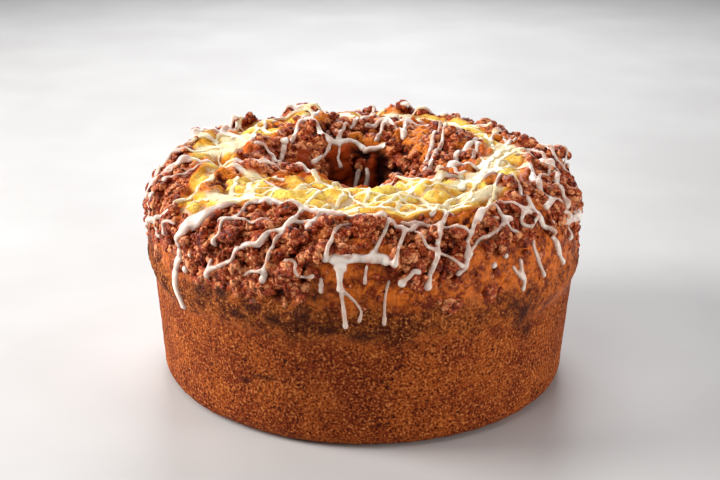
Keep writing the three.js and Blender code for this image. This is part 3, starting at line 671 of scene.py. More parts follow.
def relief(degrees, place):
    """The cake's zones, with its lift off the plain shape in mm and how far it stands out of creases."""
    zone = zones(degrees, place)
    crust, crust_creases = crust_shape(degrees, place, zone)
    crumb, crumb_creases = torn_shape(degrees, place, zone)
    zone.lift = crust * (1 - zone.torn) + crumb * zone.torn + lobes(degrees, place)
    zone.relief = np.where(zone.torn > 0.5, crumb_creases, crust_creases)
    return zone


def row_places():
    """The rows' places: finest on the crown, coarser on the wall, and coarse under and inside."""
    wall = np.arange(FOOT_PLACE, WALL_ROWS_END, WALL_ROW_SPACING)
    crown = np.arange(CROWN_ROWS_START, THROAT_PLACE + 4, ROW_SPACING)
    hole = np.arange(crown[-1] + HOLE_ROW_SPACING, PLACES[-1] - 1, HOLE_ROW_SPACING)
    base = np.interp([HALF_RING_RADIUS * 0.7, HALF_RING_RADIUS * 1.1], RADII[:2], PLACES[:2])
    return np.concatenate([[PLACES[0]], base, wall, crown, hole])


def points_round(place):
    """How many points a row has."""
    radius = section_at(place)[0]
    if radius > HALF_RING_RADIUS:
        return RING_POINTS
    return RING_POINTS // (2 if radius > QUARTER_RING_RADIUS else 4)


def faces_between(first, count, next_first, next_count):
    """The faces that join a row to the next, which has as many points, half or twice as many."""
    few = min(count, next_count)
    faces = []
    for i in range(few):
        after = (i + 1) % few
        if count == next_count:
            faces.append((first + i, first + after, next_first + after, next_first + i))
            continue
        many = next_first if next_count > count else first
        one = first if next_count > count else next_first
        a, b, c = many + 2 * i, many + 2 * i + 1, many + (2 * i + 2) % (2 * few)
        fan = [(one + i, b, a), (one + i, one + after, b), (one + after, c, b)]
        faces += fan if next_count > count else [face[::-1] for face in fan]
    return faces


def cake_mesh():
    """The whole cake as one closed mesh with its masks."""
    rows = row_places()
    counts = [points_round(place) for place in rows]
    firsts = np.concatenate([[0], np.cumsum(counts)[:-1]]).tolist()
    degrees = np.concatenate([360 * np.arange(count) / count - 180 for count in counts])
    places = np.repeat(rows, counts)
    made = relief(degrees, places)
    points = surface(degrees, places, made.lift)
    points[places <= FOOT_PLACE, 2] = 0.0
    points[:, 2] = np.maximum(points[:, 2], 0.0)
    faces = []
    for j in range(len(rows)):
        k = (j + 1) % len(rows)
        faces += faces_between(firsts[j], counts[j], firsts[k], counts[k])
    return points, faces, {mask: getattr(made, mask) for mask in MASKS}


# ---- making objects ----


def linked(name, data):
    """A new object in the scene."""
    made = bpy.data.objects.new(name, data)
    bpy.context.scene.collection.objects.link(made)
    return made


def add_masks(mesh, masks):
    """Gives each of a mesh's points its values, for the material to read."""
    for mask, values in masks.items():
        attribute = mesh.attributes.new(mask, "FLOAT", "POINT")
        attribute.data.foreach_set("value", np.asarray(values, np.float32))


def add_object(name, points, faces, masks, material, material_slot):
    """A piece from points in mm, with its masks as attributes, riding on the cake's body."""
    mesh = bpy.data.meshes.new(name)
    mesh.from_pydata((points * MM).tolist(), [], faces)
    add_masks(mesh, masks)
    mesh.shade_smooth()
    mesh.materials.append(material)
    piece = linked(name, mesh)
    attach(piece, "root")
    return piece


def ball(fineness):
    """A unit ball's points and triangles."""
    mesh = bpy.data.meshes.new("ball")
    shape = bmesh.new()
    bmesh.ops.create_icosphere(shape, subdivisions=fineness + 1, radius=1.0)
    shape.to_mesh(mesh)
    shape.free()
    points = np.array([v.co[:] for v in mesh.vertices])
    faces = np.array([p.vertices[:] for p in mesh.polygons])
    bpy.data.meshes.remove(mesh)
    return points, faces


# ---- streusel ----


class Room:
    """The places taken so far, so that crumbs keep apart."""

    CELL = 12.0

    def __init__(self):
        self.cells = {}

    def take(self, point, width, closeness):
        """Takes the place if no crumb stands too near, and says whether it did."""
        cell = tuple(int(c // self.CELL) for c in point)
        for step in np.ndindex(3, 3, 3):
            near = tuple(c + s - 1 for c, s in zip(cell, step))
            for other, other_width in self.cells.get(near, ()):
                if math.dist(other, point) < closeness * (width + other_width) / 2:
                    return False
        self.cells.setdefault(cell, []).append((point, width))
        return True


def crumb_density(degrees, place):
    """The chance that a crumb lies at a place: high in the beds, lower behind, on the crust in the torn
    ring and in the hole, and a few strays below the beds."""
    zone = relief(degrees, place)
    behind = smooth(100, 140, np.abs(degrees)) * smooth(68, 78, place)
    cover = zone.bed * (1 - 0.3 * zone.inner) * (1 - 0.4 * behind)
    cover *= 1 - 0.8 * ovals(ISLANDS, degrees, place, 0)
    cover *= 1 - bump_at(-3, 19, degrees) * smooth(128, 134, place)
    cover *= 1 - 0.5 * zone.hole
    strays = 0.06 * smooth(14, 24, place) * (1 - zone.torn) * (1 - smooth(60, 70, place))
    return np.maximum(cover, strays)


def scattered(scatter, room, rng):
    """Spots as [degrees, place, width], kept apart, between two places on the crown."""
    tries, most, least, greatest, closeness, first_place, last_place = scatter
    degrees = rng.uniform(-180, 180, tries)
    place = rng.uniform(first_place, last_place, tries)
    width = least + (greatest - least) * rng.random(tries) ** 1.5
    even_share = section_at(place)[0] / CROWN_RADIUS
    keep = rng.random(tries) < crumb_density(degrees, place) * even_share
    degrees, place, width = degrees[keep], place[keep], width[keep]
    points = surface(degrees, place, 0.0)
    spots = []
    for i in range(len(width)):
        if len(spots) < most and room.take(tuple(points[i]), width[i], closeness):
            spots.append((degrees[i], place[i], width[i]))
    return np.array(spots)


def spun_axes(degrees, place, rng):
    """For each spot the two directions along the cake, spun at random, and the outward one."""
    along, across, outward = directions(degrees, place)
    spin = rng.uniform(0, 2 * math.pi, len(degrees))[:, None]
    first = np.cos(spin) * along + np.sin(spin) * across
    return np.stack([first, np.cross(outward, first), outward], axis=1)


def rough_balls(centres, axes, halves, fineness, rng):
    """The points, faces, tones and creases of one uneven lump at each centre."""
    ball_points, ball_faces = ball(fineness)
    count, size = len(centres), len(ball_points)
    where = (ball_points[None] + rng.uniform(0, 400, (count, 1, 3))).reshape(-1, 3)
    creases = lumps(where, 1.2, 41)
    swell = 1 + 0.6 * (creases - USUAL_LUMP) + 0.22 * noise(where, 0.8, 43)
    shape = ball_points[None] * swell.reshape(count, size, 1) * halves[:, None]
    points = centres[:, None] + np.einsum("nsk,nkx->nsx", shape, axes)
    faces = ball_faces[None] + (np.arange(count) * size)[:, None, None]
    tone = np.repeat(rng.random(count), size)
    return points.reshape(-1, 3), faces.reshape(-1, 3), tone, creases


def joined(parts):
    """Several parts' points, faces and masks as one."""
    points, faces, tones, creases = zip(*parts)
    firsts = np.cumsum([0] + [len(part_points) for part_points in points[:-1]])
    faces = np.concatenate([part_faces + first for part_faces, first in zip(faces, firsts)])
    masks = {"tone": np.concatenate(tones), "relief": np.concatenate(creases)}
    return np.concatenate(points), faces.tolist(), masks


def crumbs_at(spots, make, rng):
    """The parts of the crumbs at spots, with smaller ones stuck on."""
    rise, core, satellites, fineness = make
    degrees, place, width = spots.T
    count = len(spots)
    lift = relief(degrees, place).lift + width * (rise + rng.uniform(-0.08, 0.1, count))
    lift -= SUNK_SHARE * width * (1 - smooth(*SUNK_FADE, place))
    centres = surface(degrees, place, lift)
    axes = spun_axes(degrees, place, rng)
    halves = width[:, None] * core * rng.uniform(*CORE_SHARES, (count, 3))
    parts = [rough_balls(centres, axes, halves, fineness, rng)]
    for _ in range(satellites):
        aim = rng.normal(0, 1, (count, 3))
        aim[:, 2] = np.abs(aim[:, 2]) * 0.8
        aim /= np.linalg.norm(aim, axis=1, keepdims=True)
        away = np.einsum("nk,nkx->nx", aim * halves, axes) * rng.uniform(*SATELLITE_REACH, (count, 1))
        small = halves * rng.uniform(*SATELLITE_SHARES, (count, 1))
        parts.append(rough_balls(centres + away, axes, small, 1, rng))
    return parts


def clump_spots(nodes):
    """The CAD clumps' spots, as [degrees, place, width]."""
    boxes = [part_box(node) for node in nodes]
    middles = np.array([(low + high) / 2 / MM for low, high in boxes])
    widths = [sorted((high - low) / MM)[1] for low, high in boxes]
    return np.stack([*located(middles), widths], axis=1)


def add_streusel(material):
    """The clumps, the two beds' crumbs and the grains, each as one piece."""
    rng = np.random.default_rng(SEED)
    room = Room()
    clump_nodes = sorted(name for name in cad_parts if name.startswith("streusel_clump"))
    clumps = clump_spots(clump_nodes)
    for degrees, place, width in clumps:
        room.take(tuple(surface(degrees, place, 0.0)), width, 0.0)
    scatters = (OUTER_SCATTER, INNER_SCATTER, GRAIN_SCATTER, FINE_SCATTER)
    outer, inner, grains, fine_grains = [scattered(scatter, room, rng) for scatter in scatters]
    pieces = []
    for name, groups, nodes in (
        ("streusel_clumps", [(clumps, CLUMP_MAKE)], clump_nodes),
        ("streusel_crumbs_outer", [(outer, CRUMB_MAKE)], ["streusel_outer"]),
        ("streusel_crumbs_inner", [(inner, CRUMB_MAKE)], ["streusel_inner"]),
        ("streusel_grains", [(grains, GRAIN_MAKE), (fine_grains, FINE_MAKE)], []),
    ):
        parts = [part for spots, make in groups for part in crumbs_at(spots, make, rng)]
        piece = add_object(name, *joined(parts), material, "streusel")
        if nodes:
            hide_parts(*nodes)
        pieces.append(piece)
    return pieces


# ---- icing ----


def through(points, step):
    """A smooth line through the given points, as [degrees, place] about every step mm."""
    points = np.array(points, float)
    spans = np.linalg.norm(np.diff(surface(*points.T, 0.0), axis=0), axis=1)
    knots = np.concatenate([[0], np.cumsum(np.maximum(spans, 0.1))])
    slopes = np.gradient(points, knots, axis=0) if len(points) > 2 else np.diff(points, axis=0) / knots[1]
    slopes = np.broadcast_to(slopes, points.shape)
    along = np.linspace(0, knots[-1], max(4, int(knots[-1] / step)))
    piece = np.clip(np.searchsorted(knots, along, side="right") - 1, 0, len(knots) - 2)
    span = (knots[piece + 1] - knots[piece])[:, None]
    t = (along - knots[piece])[:, None] / span
    start, end = points[piece], points[piece + 1]
    return (
        (2 * t**3 - 3 * t**2 + 1) * start
        + (t**3 - 2 * t**2 + t) * span * slopes[piece]
        + (3 * t**2 - 2 * t**3) * end
        + (t**3 - t**2) * span * slopes[piece + 1]
    )


def settled(line):
    """A line's [degrees, place] rows, moved a little sideways into the creases of the torn crumb."""
    count = len(line)
    for _ in range(SETTLING_STEPS):
        degrees = np.tile(line[:, 0], 2)
        place = np.concatenate([line[:, 1] - SETTLING_REACH, line[:, 1] + SETTLING_REACH])
        ground = relief(degrees, place)
        slope = (ground.lift[count:] - ground.lift[:count]) / (2 * SETTLING_REACH)
        drift = np.clip(slope, -1, 1) * ground.torn[:count]
        padded = np.pad(drift, SETTLING_SPAN // 2, mode="edge")
        line[:, 1] -= np.convolve(padded, np.ones(SETTLING_SPAN) / SETTLING_SPAN, mode="valid")
    return line


def net_line(rng):
    """A thin line on the torn crumb: a long arc that runs round the ring and drifts across it."""
    degrees = rng.uniform(-180, 180) if rng.random() < 0.6 else rng.normal(-6, 26)
    share = rng.uniform(0.05, 0.95)
    width = rng.uniform(*NET_WIDTHS)
    turn = rng.uniform(2.5, 5.0)
    lean = rng.normal(0.05, 0.07)
    points = []
    for _ in range(rng.integers(5, 11)):
        low, high = ring_table(TORN_RING, degrees)
        points.append((degrees, low + (high - low) * share))
        degrees += turn * rng.uniform(0.8, 1.2)
        share = float(np.clip(share + lean + rng.normal(0, 0.03), 0.02, 0.98))
        lean -= 0.014
    return (width, *points)


def back_line(rng):
    """A line poured over the back, where the photographed side's lines go on: down the crown and
    aslant, or round it."""
    degrees = rng.uniform(100, 258)
    width = rng.uniform(*STROKE_WIDTHS)
    if rng.random() < 0.65:
        lean = rng.normal(0, 0.28)
        places = np.linspace(rng.uniform(84, 128), rng.uniform(26, 62), BACK_POINTS)
        turns = degrees + lean * (places[0] - places) + rng.normal(0, 1.1, BACK_POINTS)
    else:
        turns = degrees + rng.choice([-1, 1]) * np.arange(BACK_POINTS) * rng.uniform(3.5, 6)
        places = rng.uniform(44, 96) + np.cumsum(rng.normal(0, 4.5, BACK_POINTS))
    return (width, *zip(turns, places))


def ground_lift(tree, tops, outward):
    """How far off the plain cake the outermost surface is, below each top point."""
    lifts = np.zeros(len(tops))
    for i, (top, normal) in enumerate(zip(tops, outward)):
        hit = tree.ray_cast(Vector(top), Vector(-normal), 2 * PROBE_HEIGHT)
        if hit[0] is not None:
            lifts[i] = PROBE_HEIGHT - hit[3]
    return lifts


def bridged(lifts, reach):
    """The height of thick liquid laid over rough ground: it spans the gaps and sags into them."""
    padded = np.pad(lifts, ((reach, reach), (0, 0)), mode="edge")
    window = np.lib.stride_tricks.sliding_window_view(padded, 2 * reach + 1, axis=0)
    raised = 0.55 * window.max(axis=-1) + 0.45 * lifts
    raised = 0.5 * raised + 0.5 * raised.mean(axis=1, keepdims=True)
    kernel = np.hanning(2 * reach + 3)[1:-1]
    kernel /= kernel.sum()
    padded = np.pad(raised, ((reach, reach), (0, 0)), mode="edge")
    return np.stack([np.convolve(column, kernel, mode="valid") for column in padded.T], axis=1)


def strip(top, bottom):
    """A closed strip from the rows of its top and bottom points."""
    rings = np.concatenate([top, bottom[:, ::-1]], axis=1)
    count, sides = rings.shape[:2]
    faces = []
    for j in range(count - 1):
        for k in range(sides):
            after = (k + 1) % sides
            a, b = j * sides, (j + 1) * sides
            faces.append((a + k, b + k, b + after, a + after))
    faces.append(tuple(range(sides)))
    faces.append(tuple(reversed(range((count - 1) * sides, count * sides))))
    return rings.reshape(-1, 3), faces


def crossings(bases):
    """For each line's points, 1 where another line runs close by, 0 away from all others."""
    finder = KDTree(sum(len(base) for base in bases))
    owners = np.repeat(np.arange(len(bases)), [len(base) for base in bases])
    for i, point in enumerate(np.concatenate(bases)):
        finder.insert(point, i)
    finder.balance()
    shares = []
    for own, base in enumerate(bases):
        gaps = []
        for point in base:
            found = finder.find_range(point, JOINT_REACH)
            gaps.append(min((gap for _, i, gap in found if owners[i] != own), default=JOINT_REACH))
        shares.append(1 - smooth(0, JOINT_REACH, np.array(gaps)))
    return shares


def line_widths(width, base, joint, on_crumb, seed):
    """A line's width at each point as a share of its own, and its taper at both ends. It is thicker at
    joints and near its last point, but hardly so on the torn crumb."""
    gone = np.concatenate([[0], np.cumsum(np.linalg.norm(np.diff(base, axis=0), axis=1))])
    swollen = min(1.0, 3.0 / width) * (1 - 0.8 * on_crumb)
    wide = 0.84 + 0.26 * noise(base, 8, seed)
    wide += swollen * (0.4 * bump_at(gone[-1] - 1.8, 2.2, gone) + 0.4 * joint)
    near_end = np.clip(np.minimum(gone, gone[-1] - gone) / (width / 2 * wide), 0, 1)
    return wide, np.sqrt(np.clip(1 - (1 - near_end) ** 2, 0.05, 1))


def icing_line(tree, width, line, joint, on_crumb, seed):
    """One poured line: it lies on the crumbs and runs down between them, and is thin where the torn
    crumb soaks it up."""
    base = surface(*line.T, 0.0)
    outward = directions(*line.T)[2]
    across = np.cross(np.gradient(base, axis=0), outward)
    across /= np.linalg.norm(across, axis=1, keepdims=True)
    wide, taper = line_widths(width, base, joint, on_crumb, seed)
    shares = np.linspace(-1, 1, ICING_SPAN)
    sideways = (width / 2 * wide * taper)[:, None] * shares
    spread = base[:, None] + sideways[:, :, None] * across[:, None]
    facing = np.repeat(outward, ICING_SPAN, axis=0)
    tops = (spread + PROBE_HEIGHT * outward[:, None]).reshape(-1, 3)
    lifts = ground_lift(tree, tops, facing).reshape(spread.shape[:2])
    lifts = bridged(lifts, max(2, int(BRIDGED_LENGTH / ICING_STEP)))
    crown = 0.12 + 0.88 * np.sqrt(1 - shares**2)
    depth = min(ICING_DEPTH_SHARE * width, ICING_DEPTH_MOST) * (1 - 0.5 * on_crumb)
    thick = (depth * wide * taper)[:, None] * crown
    top = spread + (lifts + thick)[:, :, None] * outward[:, None]
    bottom = spread + (lifts - ICING_SUNK)[:, :, None] * outward[:, None]
    return strip(top, bottom)


def icing_drop(tree, degrees, place, width):
    """One drop: a flat dome on the cake."""
    points, faces = ball(2)
    spot = (np.array([degrees], float), np.array([place], float))
    along, across, outward = directions(*spot)
    lift = ground_lift(tree, surface(*spot, PROBE_HEIGHT), outward)
    centre = surface(*spot, lift + DROP_LIFT)[0]
    halves = np.array([width / 2, width / 2, min(DROP_DEPTH_SHARE * width, DROP_DEPTH_MOST)])
    return centre + (points * halves) @ np.concatenate([along, across, outward]), faces.tolist()


def surface_tree(pieces):
    """One search tree over several pieces' faces, in mm."""
    points, faces, first = [], [], 0
    for piece in pieces:
        mesh = piece.data
        coords = np.empty(len(mesh.vertices) * 3, np.float32)
        mesh.vertices.foreach_get("co", coords)
        mesh.calc_loop_triangles()
        corners = np.empty(len(mesh.loop_triangles) * 3, np.int32)
        mesh.loop_triangles.foreach_get("vertices", corners)
        points.append(coords.reshape(-1, 3) / MM)
        faces.append(corners.reshape(-1, 3) + first)
        first += len(mesh.vertices)
    return BVHTree.FromPolygons(np.concatenate(points).tolist(), np.concatenate(faces).tolist())


def icing_masks(mesh, tree):
    """How deep the icing is at each point in mm, and whether torn crumb lies below it."""
    points = np.array([vertex.co[:] for vertex in mesh.vertices]) / MM
    depth = [tree.find_nearest(Vector(point))[3] for point in points]
    return {"depth": depth, "torn": relief(*located(points)).torn}


def icing_parts(tree):
    """The points and faces of DRIZZLE's lines, the net on the torn crumb, the strokes at the back and
    the drops."""
    rng = np.random.default_rng(ICING_SEED)
    lines = DRIZZLE + [net_line(rng) for _ in range(NET_LINES)]
    lines += [back_line(rng) for _ in range(BACK_LINES)]
    paths = [settled(through(points, ICING_STEP)) for _, *points in lines]
    joints = crossings([surface(*path.T, 0.0) for path in paths])
    ends = np.cumsum([len(path) for path in paths])[:-1]
    on_crumb = np.split(relief(*np.concatenate(paths).T).torn, ends)
    parts = [
        icing_line(tree, line[0], path, joint, soaked, LINE_SEED + i)
        for i, (line, path, joint, soaked) in enumerate(zip(lines, paths, joints, on_crumb))
    ]
    return parts + [icing_drop(tree, *drop) for drop in DROPS]


def melted(rough):
    """A heap of closed strips and domes as the mesh of one closed skin."""
    melt = rough.modifiers.new("melt", "REMESH")
    melt.mode = "VOXEL"
    melt.voxel_size = ICING_VOXEL * MM
    soften = rough.modifiers.new("soften", "SMOOTH")
    soften.factor = ICING_SMOOTHING_SHARE
    soften.iterations = ICING_SMOOTHING
    thin = rough.modifiers.new("thin", "DECIMATE")
    thin.ratio = ICING_FACES_KEPT
    evaluated = rough.evaluated_get(bpy.context.evaluated_depsgraph_get())
    mesh = bpy.data.meshes.new_from_object(evaluated)
    mesh.shade_smooth()
    rough.modifiers.clear()
    return mesh


def add_icing(ground, material):
    """All lines and drops, melted together into one closed skin."""
    tree = surface_tree(ground)
    parts = icing_parts(tree)
    faces, first = [], 0
    for points, part_faces in parts:
        faces += [tuple(v + first for v in face) for face in part_faces]
        first += len(points)
    points = np.concatenate([part_points for part_points, _ in parts])
    icing = add_object("icing_rough", points, faces, {}, material, "icing")
    icing.data = melted(icing)
    icing.name = icing.data.name = "icing"
    add_masks(icing.data, icing_masks(icing.data, tree))


# ---- materials ----

# Colours as sRGB values of 0 to 255. Where there are two, noise runs from the first to the second.
CROWN_COLOURS = (222, 112, 36), (120, 38, 7)
# Inner crust: dark red brown in its hollows to orange where it stands out, as painted shade and painted
# highlight, with random mottling
INNER_SHADE_TO_LIGHT_COLOURS = (112, 26, 4), (240, 134, 36)
BAND_COLOURS = (148, 75, 27), (78, 27, 7)
WALL_COLOURS = (132, 54, 18), (165, 79, 27)
# The hole: painted shade, nearly black deep in the folds down it, to brown where they stand out, with random
# mottling
HOLE_SHADE_COLOURS = (26, 3, 1), (156, 56, 12)
PALE_GRAIN, DARK_GRAIN, PIT = (214, 132, 70), (76, 22, 5), (54, 10, 1)
# The first colour here is painted shade, nearly black, in the inner crust's creases
INNER_HOLLOW_SHADE, CINNAMON_BROWN, BROWNED_EDGE = (62, 10, 2), (50, 16, 12), (198, 84, 18)
STREUSEL_COLOURS = (84, 18, 3), (164, 62, 24)
# The second colour here is painted shade, nearly black, in the streusel's creases and between its grains
STREUSEL_TAN, STREUSEL_GAP_SHADE = (240, 158, 104), (36, 4, 0)
CRUMB_COLOURS = (250, 214, 98), (238, 170, 52)
# Of these, the second is painted shade, a deeper gold in the torn crumb's creases, and the third is painted
# shade in its pores
CRUMB_PALE, CRUMB_HOLLOW_SHADE, CRUMB_PIT_SHADE = (252, 226, 140), (192, 106, 12), (206, 138, 36)
CRUMB_GLAZED, CRUMB_POOLED = (252, 238, 200), (252, 240, 206)
ICING_COLOURS = (242, 224, 212), (250, 238, 228)
STREUSEL_BELOW_ICING, CRUMB_BELOW_ICING = (184, 124, 92), (246, 214, 128)
FLOOR_COLOURS = (200, 198, 197), (208, 207, 206)

# A mix node's colour sockets, whose names its other kinds share
MIX_FIRST, MIX_SECOND, MIX_RESULT = 6, 7, 2


def linear(red, green, blue):
    """An sRGB colour of 0 to 255 as the linear colour that the shader takes."""

    def channel(value):
        value /= 255
        return value / 12.92 if value <= 0.04045 else ((value + 0.055) / 1.055) ** 2.4

    return (channel(red), channel(green), channel(blue), 1.0)


class Finish:
    """A material being made: short ways to add nodes and join them. Sizes are in mm."""

    def __init__(self, name, **settings):
        self.material = bpy.data.materials.new(name)
        self.material.use_nodes = True
        self.tree = self.material.node_tree
        self.shader = self.tree.nodes["Principled BSDF"]
        for socket, value in settings.items():
            self.shader.inputs[socket.replace("_", " ")].default_value = value
        self.where = self.add("ShaderNodeTexCoord").outputs["Object"]

    def add(self, kind, inputs=None, **settings):
        node = self.tree.nodes.new(kind)
        for key, value in settings.items():
            setattr(node, key, value)
        for socket, value in (inputs or {}).items():
            self.put(node.inputs[socket], value)
        return node

    def put(self, socket, value):
        if isinstance(value, bpy.types.NodeSocket):
            self.tree.links.new(value, socket)
        else:
            socket.default_value = value

    def mask(self, name):
        return self.add("ShaderNodeAttribute", attribute_name=name).outputs["Fac"]

    def noise(self, size, detail):
        """Noise from 0 to 1, its patches about size across."""
        inputs = {"Vector": self.where, "Scale": 1 / (size * MM), "Detail": detail}
        return self.add("ShaderNodeTexNoise", inputs).outputs["Fac"]

    def grains(self, size):
        """Grains about size across: 0 in the middle of each to about 1 at its edge."""
        inputs = {"Vector": self.where, "Scale": 1 / (size * MM)}
        return self.add("ShaderNodeTexVoronoi", inputs).outputs["Distance"]

    def rise(self, value, low, high):
        """0 where value is below low, 1 above high; the other way round if low is above high."""
        inputs = {"Value": value, "From Min": low, "From Max": high}
        return self.add("ShaderNodeMapRange", inputs, interpolation_type="SMOOTHSTEP").outputs["Result"]

    def scaled(self, value, low, high):
        """A share of 0 to 1 spread from low to high."""
        inputs = {"Value": value, "To Min": low, "To Max": high}
        return self.add("ShaderNodeMapRange", inputs).outputs["Result"]

    def math(self, operation, first, second):
        return self.add("ShaderNodeMath", {0: first, 1: second}, operation=operation).outputs["Value"]

    def times(self, first, second):
        return self.math("MULTIPLY", first, second)

    def plus(self, first, second):
        return self.math("ADD", first, second)

    def most(self, first, *others):
        """The greatest of several values."""
        for other in others:
            first = self.math("MAXIMUM", first, other)
        return first

    def mix(self, share, first, second):
        """The first colour where share is 0 and the second where it is 1."""
        node = self.add("ShaderNodeMix", {"Factor": share}, data_type="RGBA")
        for socket, colour in ((MIX_FIRST, first), (MIX_SECOND, second)):
            self.put(node.inputs[socket], linear(*colour) if isinstance(colour, tuple) else colour)
        return node.outputs[MIX_RESULT]

    def between(self, value, low, high, colours):
        """The first of two colours where value is below low, and the second where it is above high."""
        return self.mix(self.rise(value, low, high), *colours)

    def painted(self, colour, *layers):
        """A colour with others laid over it, each given as (share, colour)."""
        for share, layer in layers:
            colour = self.mix(share, colour, layer)
        return colour

    def bump(self, height, strength, depth, below=None):
        inputs = {"Height": height, "Strength": strength, "Distance": depth * MM}
        if below:
            inputs["Normal"] = below
        return self.add("ShaderNodeBump", inputs).outputs["Normal"]

    def done(self, colour, roughness, normal):
        self.put(self.shader.inputs["Base Color"], colour)
        self.put(self.shader.inputs["Roughness"], roughness)
        self.put(self.shader.inputs["Normal"], normal)
        return self.material


def baked_colour(finish, pits, grain):
    """The crust: orange brown on the crown, duller in the band over the rim, brown on the wall, and
    everywhere grained like the crumb under it."""
    stand, inner, band, wall = map(finish.mask, ("relief", "inner", "band", "wall"))
    mottled = finish.plus(finish.times(finish.noise(9, 3), 0.6), finish.times(finish.noise(2.6, 3), 0.4))
    # Painted highlight and shade: the inner crust is lighter where it stands out and darker in its hollows,
    # with random mottling
    lit = finish.plus(finish.times(stand, 0.5), mottled)
    # Painted shade in the hole, darkest in its folds
    fold_shade = finish.plus(finish.times(stand, 0.8), mottled)
    grained = finish.scaled(finish.most(band, wall), 0.45, 0.9)
    # Painted shade in the inner crust's creases
    deep = finish.times(finish.rise(stand, 0.35, 0.0), inner)
    smear = finish.times(finish.mask("cinnamon"), finish.scaled(finish.noise(2.4, 2), 0.3, 1.4))
    return finish.painted(
        finish.between(mottled, 0.42, 0.58, CROWN_COLOURS),
        (inner, finish.between(lit, 0.54, 0.92, INNER_SHADE_TO_LIGHT_COLOURS)),
        (band, finish.between(mottled, 0.42, 0.6, BAND_COLOURS)),
        (wall, finish.between(finish.noise(22, 3), 0.36, 0.66, WALL_COLOURS)),
        (finish.times(finish.rise(grain, 0.52, 0.72), grained), PALE_GRAIN),
        (finish.times(finish.rise(grain, 0.5, 0.34), grained), DARK_GRAIN),
        (finish.times(pits, grained), PIT),
        (finish.mask("hole"), finish.between(fold_shade, 0.7, 1.26, HOLE_SHADE_COLOURS)),
        (finish.times(deep, 0.8), INNER_HOLLOW_SHADE),
        (smear, CINNAMON_BROWN),
    )


def streusel_colour(finish, piece_tone, grain_tone, creases):
    """Cinnamon sugar crumbs from red brown to tan, with painted shade, nearly black, in the creases."""
    share = finish.plus(finish.times(grain_tone, 0.4), finish.times(finish.noise(5, 3), 0.6))
    share = finish.plus(share, finish.times(piece_tone, 0.14))
    return finish.painted(
        finish.between(share, 0.42, 0.56, STREUSEL_COLOURS),
        (finish.rise(share, 0.56, 0.69), STREUSEL_TAN),
        (finish.times(creases, 0.85), STREUSEL_GAP_SHADE),
    )


def crumb_colour(finish):
    """The torn yellow inside of the cake, with painted shade, a deeper gold brown, in its creases and pores,
    and thin icing over parts of them.
    """
    stand = finish.mask("relief")
    glazed = finish.times(finish.rise(stand, 0.62, 0.3), finish.rise(finish.noise(18, 2), 0.4, 0.52))
    # Painted shade: the crumb's pores are painted a darker gold in place of their shading
    pores = finish.rise(finish.noise(1.5, 1), 0.44, 0.32)
    return finish.painted(
        finish.between(finish.noise(12, 3), 0.4, 0.64, CRUMB_COLOURS),
        (finish.rise(finish.noise(4, 3), 0.5, 0.75), CRUMB_PALE),
        # Painted shade in the crumb's creases
        (finish.rise(stand, 0.85, 0.25), CRUMB_HOLLOW_SHADE),
        (finish.times(glazed, 0.7), CRUMB_GLAZED),
        (finish.times(pores, 0.55), CRUMB_PIT_SHADE),
        (finish.times(finish.mask("glaze"), 0.75), CRUMB_POOLED),
    )


def cake_material():
    """Baked crust, and over it the bed's own streusel and the torn crumb, each within its mask."""
    finish = Finish("cake", IOR=1.4, Specular_IOR_Level=0.14)
    stand, torn = finish.mask("relief"), finish.mask("torn")
    grain = finish.noise(1.3, 2)
    pits = finish.plus(finish.noise(2.0, 1), finish.times(finish.noise(14, 2), 0.35))
    pits = finish.rise(pits, 0.54, 0.44)
    browned = finish.times(finish.mask("edge"), finish.scaled(finish.noise(5, 2), 0.5, 1.2))
    colour = finish.painted(
        baked_colour(finish, pits, grain),
        # The bed's streusel, with painted shade, nearly black, in its creases, and a little lighter where it
        # stands out
        (finish.mask("bed"), streusel_colour(finish, stand, grain, finish.rise(stand, 0.6, 0.15))),
        (torn, crumb_colour(finish)),
        (finish.times(browned, 0.85), BROWNED_EDGE),
    )
    dull = finish.most(finish.mask("wall"), torn, finish.mask("band"), finish.mask("hole"))
    uneven = finish.scaled(finish.noise(2, 2), -0.08, 0.08)
    roughness = finish.plus(finish.scaled(dull, 0.3, 0.76), uneven)
    pitted = finish.bump(pits, -0.8, 0.6)
    grainy = finish.bump(grain, 0.9, 0.9, pitted)
    return finish.done(colour, roughness, finish.bump(finish.noise(3.2, 2), 0.4, 0.8, grainy))


def streusel_material():
    """Crumbs with painted shade, nearly black, in their creases and in the seams between the sugar grains."""
    finish = Finish("streusel", IOR=1.45, Specular_IOR_Level=0.22)
    seams = finish.grains(2.6)
    # Painted shade: the creases and the seams between the grains go nearly black
    creases = finish.times(finish.rise(seams, 0.55, 0.9), 0.75)
    creases = finish.most(finish.rise(finish.mask("relief"), 0.62, 0.25), creases)
    colour = streusel_colour(finish, finish.mask("tone"), finish.noise(1.2, 2), creases)
    roughness = finish.scaled(finish.noise(1.2, 2), 0.2, 0.5)
    rough = finish.bump(seams, -0.8, 0.8)
    return finish.done(colour, roughness, finish.bump(finish.noise(1.0, 3), 0.7, 0.8, rough))


